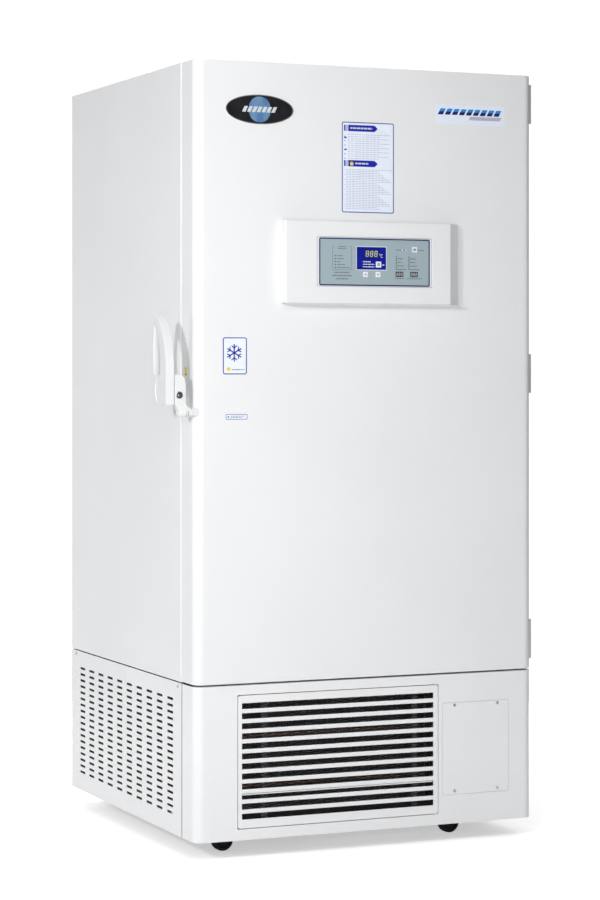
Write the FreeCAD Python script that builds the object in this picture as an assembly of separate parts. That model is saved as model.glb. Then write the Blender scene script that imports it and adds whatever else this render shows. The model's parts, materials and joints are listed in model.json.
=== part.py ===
"""Upright ultra-low-temperature laboratory freezer, as an assembly of separate parts.

Shapes are drawn in cabinet coordinates, in millimetres: x from the cabinet's left side to the right,
y from the door's front face to the back, z from the floor up.  save() moves each node to the row frame,
whose origin is the centre of the whole freezer's footprint on the floor.
"""
import FreeCAD, Part
import math
import os

V = FreeCAD.Vector
os.makedirs("parts", exist_ok=True)

# ---- driving dimensions ----------------------------------------------------------------------------
WIDTH = 940.0            # cabinet and door, side to side
DEPTH = 954.0            # door face to rear panel
HEIGHT = 1980.0          # floor to top panel
CLEARANCE = 50.0         # floor to the skirt
BASE_TOP = 435.0         # seam between the machine compartment and the insulated cabinet
SEAM = 3.0               # visible gap between neighbouring covers
DOOR_DEPTH = 90.0        # door thickness
DOOR_GAP = 6.0           # door to cabinet, bridged by the gasket
CORNER_R = 24.0          # rounded vertical front corners of door and base cover
SHEET = 1.2              # cabinet sheet steel
COVER_SHEET = 1.5        # base covers
EDGE_R = 8.0             # rounded front edge of the cabinet panels
WALL = 120.0             # insulated wall, side and top
WALL_REAR = 130.0
WALL_BOTTOM = 100.0
LINER = 1.0              # inner liner sheet
FLANGE = 32.0            # steel flange turned in round the cabinet mouth
HANDLE_REACH = 77.0      # how far the handle stands out from the left side
HINGE_REACH = 22.0       # how far the hinges stand out from the right side
PANEL_REACH = 28.0       # how far the control housing stands out from the door
SPACER = 12.0            # wall spacers on the rear panel
RUNNING = 0.05           # radial clearance of a pin in its bore
GAP = 0.3                # between parts of different bodies
OVERSIZE = 1.0           # how far a cutting tool runs past the face it cuts

ORIGIN = V((HINGE_REACH + WIDTH - HANDLE_REACH) / 2, (DEPTH + SPACER - PANEL_REACH) / 2, 0)

CABINET_FRONT = DOOR_DEPTH + DOOR_GAP
DOOR_BOTTOM = BASE_TOP + SEAM
CABINET_BOTTOM = BASE_TOP + SEAM / 2
COVER_TOP = BASE_TOP - SEAM / 2
INNER_LEFT = WALL
INNER_RIGHT = WIDTH - WALL
INNER_FLOOR = BASE_TOP + WALL_BOTTOM
INNER_TOP = HEIGHT - WALL
INNER_BACK = DEPTH - WALL_REAR - LINER
BREAKER_BACK = CABINET_FRONT + EDGE_R

AXES = {"x": V(1, 0, 0), "y": V(0, 1, 0), "z": V(0, 0, 1)}


# ---- shape helpers ---------------------------------------------------------------------------------
def box(x0, x1, y0, y1, z0, z1):
    return Part.makeBox(x1 - x0, y1 - y0, z1 - z0, V(x0, y0, z0))


def rod(axis, start, radius, length):
    """Cylinder from the point start, along +axis."""
    return Part.makeCylinder(radius, length, V(*start), AXES[axis])


def ring(axis, start, outer, inner, length):
    return rod(axis, start, outer, length).cut(rod(axis, start, inner, length))


def joined(shapes):
    shapes = list(shapes)
    return shapes[0].multiFuse(shapes[1:]).removeSplitter()


def prism(points, travel):
    """Polygon through the points, pushed along the vector travel."""
    corners = [V(*p) for p in points]
    return Part.Face(Part.makePolygon(corners + corners[:1])).extrude(V(*travel))


def edges_along(shape, axis):
    """Straight edges of the shape that run along one axis."""
    lengths = {"x": "XLength", "y": "YLength", "z": "ZLength"}
    others = [name for key, name in lengths.items() if key != axis]
    return [e for e in shape.Edges if all(getattr(e.BoundBox, name) < 1e-6 for name in others)]


def soft_box(x0, x1, y0, y1, z0, z1, radius, axis):
    """Box whose four edges along one axis are rounded."""
    shape = box(x0, x1, y0, y1, z0, z1)
    return shape.makeFillet(radius, edges_along(shape, axis))


def mirrored(shape):
    """The same shape on the other side of the cabinet's middle."""
    return shape.mirror(V(WIDTH / 2, 0, 0), AXES["x"])


def moved(shape, x=0, y=0, z=0):
    return shape.translated(V(x, y, z))


def tube(points, radius, bend):
    """Round tube along a route of straight runs joined by tangent arcs of one bend radius."""
    route = [V(*p) for p in points]
    edges = []
    here = route[0]
    for before, corner, after in zip(route, route[1:], route[2:]):
        back = (before - corner).normalize()
        ahead = (after - corner).normalize()
        half_turn = back.getAngle(ahead) / 2
        reach = bend / math.tan(half_turn)
        start = corner + back * reach
        end = corner + ahead * reach
        middle_way = (back + ahead).normalize()
        middle = corner + middle_way * (bend / math.sin(half_turn) - bend)
        edges.append(Part.LineSegment(here, start).toShape())
        edges.append(Part.Arc(start, middle, end).toShape())
        here = end
    edges.append(Part.LineSegment(here, route[-1]).toShape())
    section = Part.Wire(Part.Circle(route[0], route[1] - route[0], radius).toShape())
    return Part.Wire(edges).makePipeShell([section], True, True)


def save(node, *solids):
    shape = solids[0] if len(solids) == 1 else Part.Compound(list(solids))
    shape.translated(-ORIGIN).exportStep("parts/" + node + ".step")


# ---- machine compartment: frame and covers ---------------------------------------------------------
PAN_TOP = 108.0
RAIL_BOTTOM = 76.0
RAIL_TOP = 106.0
RAIL_WIDTH = 40.0
TUBE_WALL = 2.0
POST = 30.0
CASTER_INSET = 150.0     # swivel centre from the cabinet's side
CASTER_FRONT = 145.0     # front axle line behind the door face
CASTER_REAR = 860.0      # rear axle line behind the door face


def square_tube(x0, x1, y0, y1, z0, z1, axis):
    """Rectangular steel tube, open at both ends along axis."""
    w = TUBE_WALL
    inside = {
        "x": box(x0, x1, y0 + w, y1 - w, z0 + w, z1 - w),
        "y": box(x0 + w, x1 - w, y0, y1, z0 + w, z1 - w),
        "z": box(x0 + w, x1 - w, y0 + w, y1 - w, z0, z1),
    }
    return box(x0, x1, y0, y1, z0, z1).cut(inside[axis])


def base_frame():
    front = CABINET_FRONT + 2
    back = DEPTH - 6
    side_gap = 5.0
    left = CASTER_INSET - RAIL_WIDTH / 2
    rails = [square_tube(left, left + RAIL_WIDTH, front, back, RAIL_BOTTOM, RAIL_TOP, "y")]
    rails.append(mirrored(rails[0]))
    for y in (front, back - RAIL_WIDTH):
        rails.append(square_tube(left + RAIL_WIDTH, WIDTH - left - RAIL_WIDTH, y, y + RAIL_WIDTH,
                                 RAIL_BOTTOM, RAIL_TOP, "x"))
    pan = box(side_gap, WIDTH - side_gap, front, back, RAIL_TOP, PAN_TOP)
    posts = []
    for screw_y, screw_z in VENT_SCREWS:
        y = screw_y - POST / 2
        post = square_tube(side_gap, side_gap + POST, y, y + POST, PAN_TOP, CABINET_BOTTOM, "z")
        post = post.cut(rod("x", (0, screw_y, screw_z), SCREW_R + RUNNING, side_gap + POST / 2))
        posts += [post, mirrored(post)]
    save("base_frame", pan, *rails, *posts)


GRILLE_X = (111.7, 667.8)        # opening in the front cover
GRILLE_Z = (77.0, 410.0)
GRILLE_GAP = 2.0
GRILLE_DEPTH = 16.0
GRILLE_CORNER = 6.0
OPENING_CORNER = 4.0             # tighter than the grille's, so that the grille's corners swing clear
GRILLE_PIVOT = (GRILLE_X[1] - GRILLE_GAP - 4.5, 4.0)
GRILLE_PIN_R = 2.5
OPENING_RETURN = 20.0            # depth of the flange folded back round the grille opening
SLOT_X = (124.0, 653.0)
SLOT_TOP = 389.3
SLOT_HEIGHT = 14.6
SLOT_PITCH = 24.9
SLOTS = 12

SERVICE_X = (679.0, 870.5)       # opening for the service cover
SERVICE_Z = (124.0, 361.0)
SERVICE_GAP = 1.2
SERVICE_LEDGE = 15.0
SERVICE_SCREWS = [(713.0, 354.0), (837.0, 354.0), (713.0, 134.5), (837.0, 134.5)]
VENT_SCREWS = [(118.5, 424.0), (916.0, 424.0)]       # y, z on the side panels
SCREW_HEAD_R = 4.0
SCREW_HEAD = 2.0
SCREW_R = 2.0
SCREW_LENGTH = 9.0


def base_front_cover():
    t = COVER_SHEET
    outer = box(0, WIDTH, 0, DOOR_DEPTH, CLEARANCE, COVER_TOP)
    outer = outer.makeFillet(CORNER_R, [e for e in edges_along(outer, "z") if e.BoundBox.YMax < 1])
    inner = box(t, WIDTH - t, t, DOOR_DEPTH + OVERSIZE, CLEARANCE - OVERSIZE, COVER_TOP + OVERSIZE)
    inner = inner.makeFillet(CORNER_R - t, [e for e in edges_along(inner, "z") if e.BoundBox.YMax < t + 1])
    wall = outer.cut(inner)
    foot = outer.common(box(0, WIDTH, t / 2, 28, CLEARANCE, CLEARANCE + t))
    head = outer.common(box(0, WIDTH, t / 2, 28, COVER_TOP - t, COVER_TOP))
    gx0, gx1 = GRILLE_X
    gz0, gz1 = GRILLE_Z
    corner = OPENING_CORNER
    collar = soft_box(gx0 - t, gx1 + t, t / 2, OPENING_RETURN, gz0 - t, gz1 + t, corner + t, "y")
    sx0, sx1 = SERVICE_X
    sz0, sz1 = SERVICE_Z
    ledge = box(sx0 - t, sx1 + t, t / 2, 2 * t + 0.1, sz0 - t, sz1 + t)
    shell = joined([wall, foot, head, collar, ledge])
    shell = shell.cut(soft_box(gx0, gx1, -OVERSIZE, OPENING_RETURN + OVERSIZE, gz0, gz1, corner, "y"))
    shell = shell.cut(box(sx0, sx1, -OVERSIZE, t + 0.1, sz0, sz1))
    rim = SERVICE_LEDGE
    shell = shell.cut(box(sx0 + rim, sx1 - rim, 0, 3 * t, sz0 + rim, sz1 - rim))
    for x, z in SERVICE_SCREWS:
        shell = shell.cut(rod("y", (x, 0, z), SCREW_R, 4 * t))
    px, py = GRILLE_PIVOT
    pin_hole = rod("z", (px, py, gz0 - 2 * t), GRILLE_PIN_R + RUNNING, gz1 - gz0 + 4 * t)
    save("base_front_cover", shell.cut(pin_hole))


def service_cover():
    g = SERVICE_GAP
    sx0, sx1 = SERVICE_X
    sz0, sz1 = SERVICE_Z
    plate = soft_box(sx0 + g, sx1 - g, 0, COVER_SHEET, sz0 + g, sz1 - g, 3, "y")
    for x, z in SERVICE_SCREWS:
        plate = plate.cut(rod("y", (x, -OVERSIZE, z), SCREW_R + 0.2, 2 * COVER_SHEET))
    save("service_cover", plate)


VENT_COLUMNS = 10
VENT_ROWS = 18
VENT_FIRST_Y = 154.0
VENT_PITCH_Y = 76.1
VENT_LENGTH = 43.0
VENT_TOP_Z = 391.0
VENT_PITCH_Z = 16.85
VENT_HEIGHT = 6.5


def slot_wire(y0, y1, z, radius):
    """Round-ended slot outline in the plane x = 0, centred on height z."""
    a, b = y0 + radius, y1 - radius
    lower = Part.LineSegment(V(0, a, z - radius), V(0, b, z - radius)).toShape()
    right = Part.Arc(V(0, b, z - radius), V(0, y1, z), V(0, b, z + radius)).toShape()
    upper = Part.LineSegment(V(0, b, z + radius), V(0, a, z + radius)).toShape()
    left = Part.Arc(V(0, a, z + radius), V(0, y0, z), V(0, a, z - radius)).toShape()
    return Part.Wire([lower, right, upper, left])


def slotted_sheet(y0, y1, z0, z1, slots, holes, thickness):
    """Flat sheet in the plane x = 0 with round-ended slots and round holes."""
    frame = Part.makePolygon([V(0, y0, z0), V(0, y1, z0), V(0, y1, z1), V(0, y0, z1), V(0, y0, z0)])
    cuts = [slot_wire(*slot, VENT_HEIGHT / 2) for slot in slots]
    cuts += [Part.Wire(Part.Circle(V(0, y, z), AXES["x"], r).toShape()) for y, z, r in holes]
    face = Part.Face([frame] + cuts, "Part::FaceMakerBullseye")
    return face.extrude(V(thickness, 0, 0))


def base_vent_panels():
    slots = []
    for column in range(VENT_COLUMNS):
        for row in range(VENT_ROWS):
            y = VENT_FIRST_Y + column * VENT_PITCH_Y
            z = VENT_TOP_Z - VENT_HEIGHT / 2 - row * VENT_PITCH_Z
            slots.append((y, y + VENT_LENGTH, z))
    holes = [(y, z, SCREW_R + 0.2) for y, z in VENT_SCREWS]
    sheet = slotted_sheet(CABINET_FRONT, DEPTH, CLEARANCE, COVER_TOP, slots, holes, SHEET)
    save("base_vent_panels", sheet, mirrored(sheet))


INLET_X = 140.0          # power inlet on the rear cover
INLET_Z = 380.0
INLET_HALF = (24.0, 13.0)


def base_rear_cover():
    """Drawn as a side panel, then turned to face the back."""
    columns = 9
    rows = 14
    length = 60.0
    pitch = (WIDTH - 2 * 90.0 - length) / (columns - 1)
    slots = []
    for column in range(columns):
        for row in range(rows):
            y = 90.0 + column * pitch
            slots.append((y, y + length, 335.0 - row * VENT_PITCH_Z))
    sheet = slotted_sheet(SHEET, WIDTH - SHEET, CLEARANCE, COVER_TOP, slots, [], SHEET)
    sheet.rotate(V(0, 0, 0), AXES["z"], -90)
    sheet = moved(sheet, 0, DEPTH, 0)
    hx, hz = INLET_HALF
    hole = box(INLET_X - hx, INLET_X + hx, DEPTH - 9, DEPTH + 9, INLET_Z - hz, INLET_Z + hz)
    save("base_rear_cover", sheet.cut(hole))


def screw(axis, point):
    """Pan-head screw whose head stands on the point's face, shank running along +axis."""
    x, y, z = point
    back = AXES[axis] * -SCREW_HEAD
    head = rod(axis, (x + back.x, y + back.y, z + back.z), SCREW_HEAD_R, SCREW_HEAD)
    head = head.makeFillet(1.2, [head.Edges[0] if head.Edges[0].BoundBox.Center.distanceToPoint(
        V(x, y, z) + back) < 0.1 else head.Edges[2]])
    slot_depth = 0.7
    recess = {
        "y": box(x - 2.4, x + 2.4, y - SCREW_HEAD, y - SCREW_HEAD + slot_depth, z - 0.5, z + 0.5),
        "x": box(x - SCREW_HEAD, x - SCREW_HEAD + slot_depth, y - 2.4, y + 2.4, z - 0.5, z + 0.5),
    }[axis]
    cross = recess.copy()
    cross.rotate(V(x, y, z), AXES[axis], 90)
    return joined([head, rod(axis, point, SCREW_R, SCREW_LENGTH)]).cut(recess).cut(cross)


def panel_screws():
    screws = [screw("y", (x, 0, z)) for x, z in SERVICE_SCREWS]
    for y, z in VENT_SCREWS:
        side = screw("x", (0, y, z))
        screws += [side, mirrored(side)]
    save("panel_screws", *screws)


# ---- insulated cabinet -----------------------------------------------------------------------------
def bent_side():
    """Left side panel with its rounded front edge and the flange turned in at the front."""
    t = SHEET
    outer = box(0, FLANGE, CABINET_FRONT, DEPTH, CABINET_BOTTOM, HEIGHT)
    front_edge = [e for e in edges_along(outer, "z") if e.BoundBox.XMax < 1 and e.BoundBox.YMax < DEPTH - 1]
    outer = outer.makeFillet(EDGE_R, front_edge)
    inner = box(t, FLANGE + 1, CABINET_FRONT + t, DEPTH + 1, CABINET_BOTTOM - 1, HEIGHT + 1)
    inner_edge = [e for e in edges_along(inner, "z") if e.BoundBox.XMax < t + 1 and e.BoundBox.YMax < DEPTH]
    return outer.cut(inner.makeFillet(EDGE_R - t, inner_edge))


def cabinet_shell():
    t = SHEET
    side = bent_side()
    roof = box(t, WIDTH - t, CABINET_FRONT + EDGE_R, DEPTH, HEIGHT - t, HEIGHT)
    brow = box(FLANGE, WIDTH - FLANGE, CABINET_FRONT, CABINET_FRONT + EDGE_R + 1, HEIGHT - FLANGE, HEIGHT)
    brow = brow.makeFillet(EDGE_R, [e for e in edges_along(brow, "x")
                                    if e.BoundBox.ZMin > HEIGHT - 1 and e.BoundBox.YMax < CABINET_FRONT + 1])
    hollow = box(FLANGE - 1, WIDTH - FLANGE + 1, CABINET_FRONT + t, CABINET_FRONT + 20,
                 HEIGHT - FLANGE - 1, HEIGHT - t)
    hollow = hollow.makeFillet(EDGE_R - t, [e for e in edges_along(hollow, "x")
                                            if e.BoundBox.ZMin > HEIGHT - 2 * t
                                            and e.BoundBox.YMax < CABINET_FRONT + 2 * t])
    save("cabinet_shell", side, mirrored(side), joined([roof, brow.cut(hollow)]))


def cabinet_rear_panel():
    panel = box(SHEET, WIDTH - SHEET, DEPTH - SHEET, DEPTH, CABINET_BOTTOM, HEIGHT - SHEET)
    save("cabinet_rear_panel", panel.cut(port_bore(PORT_R)))


def cabinet_deck():
    t = SHEET
    floor = box(t, WIDTH - t, CABINET_FRONT + EDGE_R, DEPTH - t, CABINET_BOTTOM, CABINET_BOTTOM + t)
    lip = box(FLANGE, WIDTH - FLANGE, CABINET_FRONT, CABINET_FRONT + EDGE_R, CABINET_BOTTOM,
              CABINET_BOTTOM + t)
    flange = box(FLANGE, WIDTH - FLANGE, CABINET_FRONT, CABINET_FRONT + t, CABINET_BOTTOM,
                 CABINET_BOTTOM + FLANGE)
    save("cabinet_deck", joined([floor, lip, flange]))


PORT_R = 12.5            # probe port through the rear wall
PORT_X = 760.0
PORT_Z = 1500.0


def port_bore(radius):
    return rod("y", (PORT_X, INNER_BACK - 5, PORT_Z), radius, WALL_REAR + 20)


def cabinet_foam():
    t = SHEET
    block = box(t, WIDTH - t, BREAKER_BACK, DEPTH - t, CABINET_BOTTOM + t, HEIGHT - t)
    cavity = box(INNER_LEFT - LINER, INNER_RIGHT + LINER, BREAKER_BACK - 1, INNER_BACK + LINER,
                 INNER_FLOOR - LINER, INNER_TOP + LINER)
    save("cabinet_foam", block.cut(cavity).cut(port_bore(PORT_R)))


def inner_liner():
    s = LINER
    front = BREAKER_BACK
    left = box(INNER_LEFT - s, INNER_LEFT, front, INNER_BACK + s, INNER_FLOOR - s, INNER_TOP + s)
    top = box(INNER_LEFT, INNER_RIGHT, front, INNER_BACK + s, INNER_TOP, INNER_TOP + s)
    bottom = box(INNER_LEFT, INNER_RIGHT, front, INNER_BACK + s, INNER_FLOOR - s, INNER_FLOOR)
    back = box(INNER_LEFT, INNER_RIGHT, INNER_BACK, INNER_BACK + s, INNER_FLOOR, INNER_TOP)
    save("inner_liner", left, mirrored(left), top, bottom, back.cut(port_bore(PORT_R)))


def breaker_frame():
    y0, y1 = CABINET_FRONT, BREAKER_BACK
    low = CABINET_BOTTOM + FLANGE
    high = HEIGHT - FLANGE
    left = box(FLANGE, INNER_LEFT, y0, y1, low, high)
    top = box(INNER_LEFT, INNER_RIGHT, y0, y1, INNER_TOP, high)
    bottom = box(INNER_LEFT, INNER_RIGHT, y0, y1, low, INNER_FLOOR)
    save("breaker_frame", left, mirrored(left), top, bottom)


SHELF_COUNT = 3
SHELF_FRONT = 172.0
SHELF_BACK = INNER_BACK - 6
SHELF_SHEET = 1.5
SHELF_LIP = 15.0
STRIP = 6.0              # depth of the slotted strips on the side walls
STRIP_WIDTH = 25.0
STRIP_Y = (240.0, 740.0)
COMPARTMENT = (INNER_TOP - INNER_FLOOR) / (SHELF_COUNT + 1)


def shelf_top(number):
    return INNER_FLOOR + number * COMPARTMENT


def shelves():
    x0, x1 = INNER_LEFT + STRIP + 1, INNER_RIGHT - STRIP - 1
    made = []
    for number in range(1, SHELF_COUNT + 1):
        z = shelf_top(number)
        sheet = box(x0, x1, SHELF_FRONT, SHELF_BACK, z - SHELF_SHEET, z)
        lips = [box(x0, x1, y, y + SHELF_SHEET, z - SHELF_LIP, z)
                for y in (SHELF_FRONT, SHELF_BACK - SHELF_SHEET)]
        made.append(joined([sheet] + lips))
    save("shelves", *made)


def shelf_supports():
    made = []
    for y in STRIP_Y:
        strip = box(INNER_LEFT, INNER_LEFT + STRIP, y, y + STRIP_WIDTH, INNER_FLOOR + 10, INNER_TOP - 10)
        made += [strip, mirrored(strip)]
        for number in range(1, SHELF_COUNT + 1):
            z = shelf_top(number) - SHELF_SHEET
            clip = box(INNER_LEFT + STRIP, INNER_LEFT + STRIP + 14, y + 3, y + STRIP_WIDTH - 3, z - 8, z)
            made += [clip, mirrored(clip)]
    save("shelf_supports", *made)


def rear_spacers():
    pads = []
    for x in (170.0, WIDTH - 170.0):
        for z in (620.0, 1820.0):
            pad = rod("y", (x, DEPTH, z), 22, SPACER)
            pads.append(pad.makeFillet(3, [e for e in pad.Edges if e.BoundBox.YMin > DEPTH + SPACER - 1]))
    save("rear_spacers", *pads)


def access_port_plug():
    flange = rod("y", (PORT_X, DEPTH, PORT_Z), 20, 4)
    stem = rod("y", (PORT_X, INNER_BACK + 2, PORT_Z), PORT_R - 0.2, DEPTH - INNER_BACK)
    grip = rod("y", (PORT_X, DEPTH + 4, PORT_Z), 9, 6)
    save("access_port_plug", joined([flange, stem, grip]))


def power_inlet():
    hx, hz = INLET_HALF
    x, z = INLET_X, INLET_Z
    flange = soft_box(x - hx - 8, x + hx + 8, DEPTH, DEPTH + 3, z - hz - 6, z + hz + 6, 4, "y")
    body = box(x - hx + 0.3, x + hx - 0.3, DEPTH - 32, DEPTH, z - hz + 0.3, z + hz - 0.3)
    mouth = soft_box(x - hx + 4, x + hx - 4, DEPTH - 22, DEPTH + 4, z - hz + 4, z + hz - 4, 3, "y")
    blades = [box(x + dx - 4, x + dx + 4, DEPTH - 23, DEPTH - 4, z + dz - 1, z + dz + 1)
              for dx, dz in ((-12, -3), (0, 4), (12, -3))]
    save("power_inlet", joined([flange, body]).cut(mouth).multiFuse(blades))


# ---- door ------------------------------------------------------------------------------------------
PLUG_X = (INNER_LEFT + 20, INNER_RIGHT - 20)
PLUG_Z = (INNER_FLOOR + 25, INNER_TOP - 20)
PLUG_DEPTH = 18.0
FOAM_GAP = 0.1
PANEL_SHEET = 3.0        # plastic inner panel of the door
GASKET_WIDTH = 35.0
GASKET_X = (70.0, WIDTH - 70.0)
GASKET_Z = (DOOR_BOTTOM + 38, HEIGHT - 55)

PIVOT_Y = 12.0           # handle pivot, running along x
PIVOT_Z = 1110.5
PIVOT_R = 5.0
BOSS_R = 11.0


def door_outline(inset):
    """Solid of the door's outer shape, drawn in by inset on every side but the back."""
    block = box(inset, WIDTH - inset, inset, DOOR_DEPTH, DOOR_BOTTOM + inset, HEIGHT - inset)
    corners = [e for e in edges_along(block, "z") if e.BoundBox.YMax < inset + 1]
    return block.makeFillet(CORNER_R - inset, corners)


def door_skin():
    outer = door_outline(0)
    rim = [e for e in outer.Edges if e.BoundBox.ZLength < 1e-6 and e.BoundBox.YMin < DOOR_DEPTH - 1]
    outer = outer.makeFillet(2.0, rim)
    pivot_hole = rod("x", (-1, PIVOT_Y, PIVOT_Z), PIVOT_R, 20)
    wiring = rod("y", (WIRE_X, -1, WIRE_Z), 12, 10)
    save("door_skin", outer.cut(door_outline(SHEET)).cut(pivot_hole).cut(wiring))


def plug_box(inset):
    """The plug behind the door, drawn in by inset on five sides and reaching into the foam."""
    return box(PLUG_X[0] + inset, PLUG_X[1] - inset, DOOR_DEPTH - PANEL_SHEET - 1,
               DOOR_DEPTH + PLUG_DEPTH - inset, PLUG_Z[0] + inset, PLUG_Z[1] - inset)


def door_foam():
    block = door_outline(SHEET + FOAM_GAP)
    block = block.cut(box(-1, WIDTH + 1, DOOR_DEPTH - PANEL_SHEET, DOOR_DEPTH + 1, 0, HEIGHT))
    pivot_hole = rod("x", (-1, PIVOT_Y, PIVOT_Z), PIVOT_R + 0.5, 60)
    save("door_foam", joined([block, plug_box(PANEL_SHEET + FOAM_GAP)]).cut(pivot_hole))


def door_inner_panel():
    t = SHEET
    y0, y1 = DOOR_DEPTH - PANEL_SHEET, DOOR_DEPTH
    plate = box(t, WIDTH - t, y0, y1, DOOR_BOTTOM + t, HEIGHT - t)
    plug = box(*PLUG_X, y0, y1 + PLUG_DEPTH, *PLUG_Z)
    back_edges = [e for e in plug.Edges if e.BoundBox.YMin > y1 + PLUG_DEPTH - 1]
    plug = plug.makeFillet(8, back_edges)
    save("door_inner_panel", joined([plate, plug]).cut(plug_box(PANEL_SHEET)))


def door_gasket():
    x0, x1 = GASKET_X
    z0, z1 = GASKET_Z
    w = GASKET_WIDTH
    y0, y1 = DOOR_DEPTH, DOOR_DEPTH + DOOR_GAP - GAP
    left = box(x0, x0 + w, y0, y1, z0, z1)
    top = box(x0 + w, x1 - w, y0, y1, z1 - w, z1)
    bottom = box(x0 + w, x1 - w, y0, y1, z0, z0 + w)
    save("door_gasket", left, mirrored(left), top, bottom)


# ---- door hinges -----------------------------------------------------------------------------------
HINGE_HEIGHT = 101.5
HINGE_BOTTOMS = (459.3, 1154.4, 1860.3)
HINGE_AXIS = (WIDTH + HINGE_REACH / 2, DOOR_DEPTH + DOOR_GAP / 2)
HINGE_R = HINGE_REACH / 2
HINGE_PIN_R = 5.0
HINGE_FRONT = 42.0       # where the door leaf starts behind the door face
KNUCKLE_GAP = 0.5


def hinge_parts(z):
    """Door leaf, cabinet leaf and pin of one hinge whose lower end is at height z."""
    ax, ay = HINGE_AXIS
    third = HINGE_HEIGHT / 3
    low, high = z + third, z + 2 * third
    top = z + HINGE_HEIGHT
    block = box(WIDTH, WIDTH + HINGE_REACH, HINGE_FRONT, ay - HINGE_R - 4, z, top)
    outer = [e for e in edges_along(block, "z") if e.BoundBox.XMin > WIDTH + 1]
    front = [e for e in outer if e.BoundBox.YMax < HINGE_FRONT + 1]
    block = block.makeFillet(5, front)
    arms = []
    for a, b in ((z, low - KNUCKLE_GAP), (high + KNUCKLE_GAP, top)):
        arms.append(box(WIDTH, WIDTH + HINGE_REACH, ay - HINGE_R - 5, ay, a, b))
        arms.append(rod("z", (ax, ay, a), HINGE_R, b - a))
    clear = box(WIDTH - 1, WIDTH + HINGE_REACH, DOOR_DEPTH - 1, ay + HINGE_R, z, top)
    clear = clear.cut(rod("z", (ax, ay, z), HINGE_R, HINGE_HEIGHT))
    bore = rod("z", (ax, ay, z - 1), HINGE_PIN_R + RUNNING, HINGE_HEIGHT + 2)
    door_leaf = joined([block] + arms).cut(clear).cut(bore)

    knuckle = rod("z", (ax, ay, low), HINGE_R - 0.5, third)
    arm = box(WIDTH, ax, ay + 3, ay + HINGE_R + 9, low, high)
    plate = soft_box(WIDTH, WIDTH + 6, ay + HINGE_R + 4, ay + HINGE_R + 64, z, top, 5, "x")
    cabinet_leaf = joined([knuckle, arm, plate]).cut(rod("z", (ax, ay, low - 1), HINGE_PIN_R, third + 2))
    pin = rod("z", (ax, ay, z), HINGE_PIN_R, HINGE_HEIGHT)
    return door_leaf, cabinet_leaf, pin


def hinges():
    sets = [hinge_parts(z) for z in HINGE_BOTTOMS]
    save("hinge_door_leaves", *[s[0] for s in sets])
    save("hinge_cabinet_leaves", *[s[1] for s in sets])
    save("hinge_pins", *[s[2] for s in sets])


# ---- handle, lock and latch ------------------------------------------------------------------------
GRIP_X = (-HANDLE_REACH, -HANDLE_REACH + 21.5)
GRIP_BOTTOM = 1128.0
GRIP_TOP = 1352.0
GRIP_BEND = 1220.0       # height where the front edge starts to sweep back
GRIP_SWEEP = 155.0       # radius of that sweep
GRIP_BACK = 102.0
LOCK_X = (-53.5, -24.5)
LOCK_TOP = 1203.0
LOCK_FRONT = 1.0
LOCK_BACK = 61.0
KEY_X = -41.5
KEY_Z = 1153.0
KEY_R = 9.5
COLLAR_X = -7.5
HOOK_X = (-50.0, -40.0)
KEEPER_Y = 104.0
KEEPER_Z = 1160.0
KEEPER_R = 4.0


def arc_wire(points):
    """Closed outline: each entry is a corner, or a pair of a middle point and a corner for an arc."""
    edges = []
    here = V(*points[0])
    for entry in points[1:] + points[:1]:
        if isinstance(entry[0], tuple):
            middle, corner = V(*entry[0]), V(*entry[1])
            edges.append(Part.Arc(here, middle, corner).toShape())
        else:
            corner = V(*entry)
            edges.append(Part.LineSegment(here, corner).toShape())
        here = corner
    return Part.Wire(edges)


def handle_grip():
    """Sail-shaped grip plate with a finger opening behind its front bar."""
    x0, x1 = GRIP_X

    def swept(height, inset=0.0):
        rise = height - GRIP_BEND
        return inset + GRIP_SWEEP - math.sqrt((GRIP_SWEEP) ** 2 - rise ** 2)

    tip_y = swept(GRIP_TOP) + 2
    half = (GRIP_BEND + GRIP_TOP) / 2
    outline = arc_wire([
        (x0, 0, GRIP_BOTTOM), (x0, 0, GRIP_BEND),
        ((x0, swept(half), half), (x0, tip_y - 2, GRIP_TOP)),
        (x0, tip_y + 4, GRIP_TOP),
        ((x0, GRIP_BACK, 1262), (x0, GRIP_BACK - 3, GRIP_BOTTOM)),
    ])
    plate = Part.Face(outline).extrude(V(x1 - x0, 0, 0))
    bar = 40.0
    low, high = 1202.0, 1326.0
    middle = (low + high) / 2 + 12
    window = arc_wire([
        (x0 - 1, bar, low), (x0 - 1, bar, GRIP_BEND + 10),
        ((x0 - 1, 49, 1284), (x0 - 1, 72, high)),
        (x0 - 1, 80, high - 2),
        ((x0 - 1, GRIP_BACK - 15, middle), (x0 - 1, GRIP_BACK - 16, low)),
    ])
    window = Part.Face(window).extrude(V(x1 - x0 + 2, 0, 0))
    window = window.makeFillet(4, [e for e in edges_along(window, "x") if e.BoundBox.ZMin < low + 1])
    plate = plate.makeFillet(4, [e for e in edges_along(plate, "x") if e.BoundBox.ZMin < GRIP_BOTTOM + 1])
    plate = plate.cut(window)
    dimple = Part.makeCylinder(11, 3, V(x0 - 1.5, 0, 0), AXES["x"])
    squash = FreeCAD.Matrix()
    squash.scale(V(1, 1.9, 2.5))
    dimple = dimple.transformGeometry(squash)
    dimple = moved(dimple, 0, 55, 1164)
    save("handle_grip", plate.cut(dimple))


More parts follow.
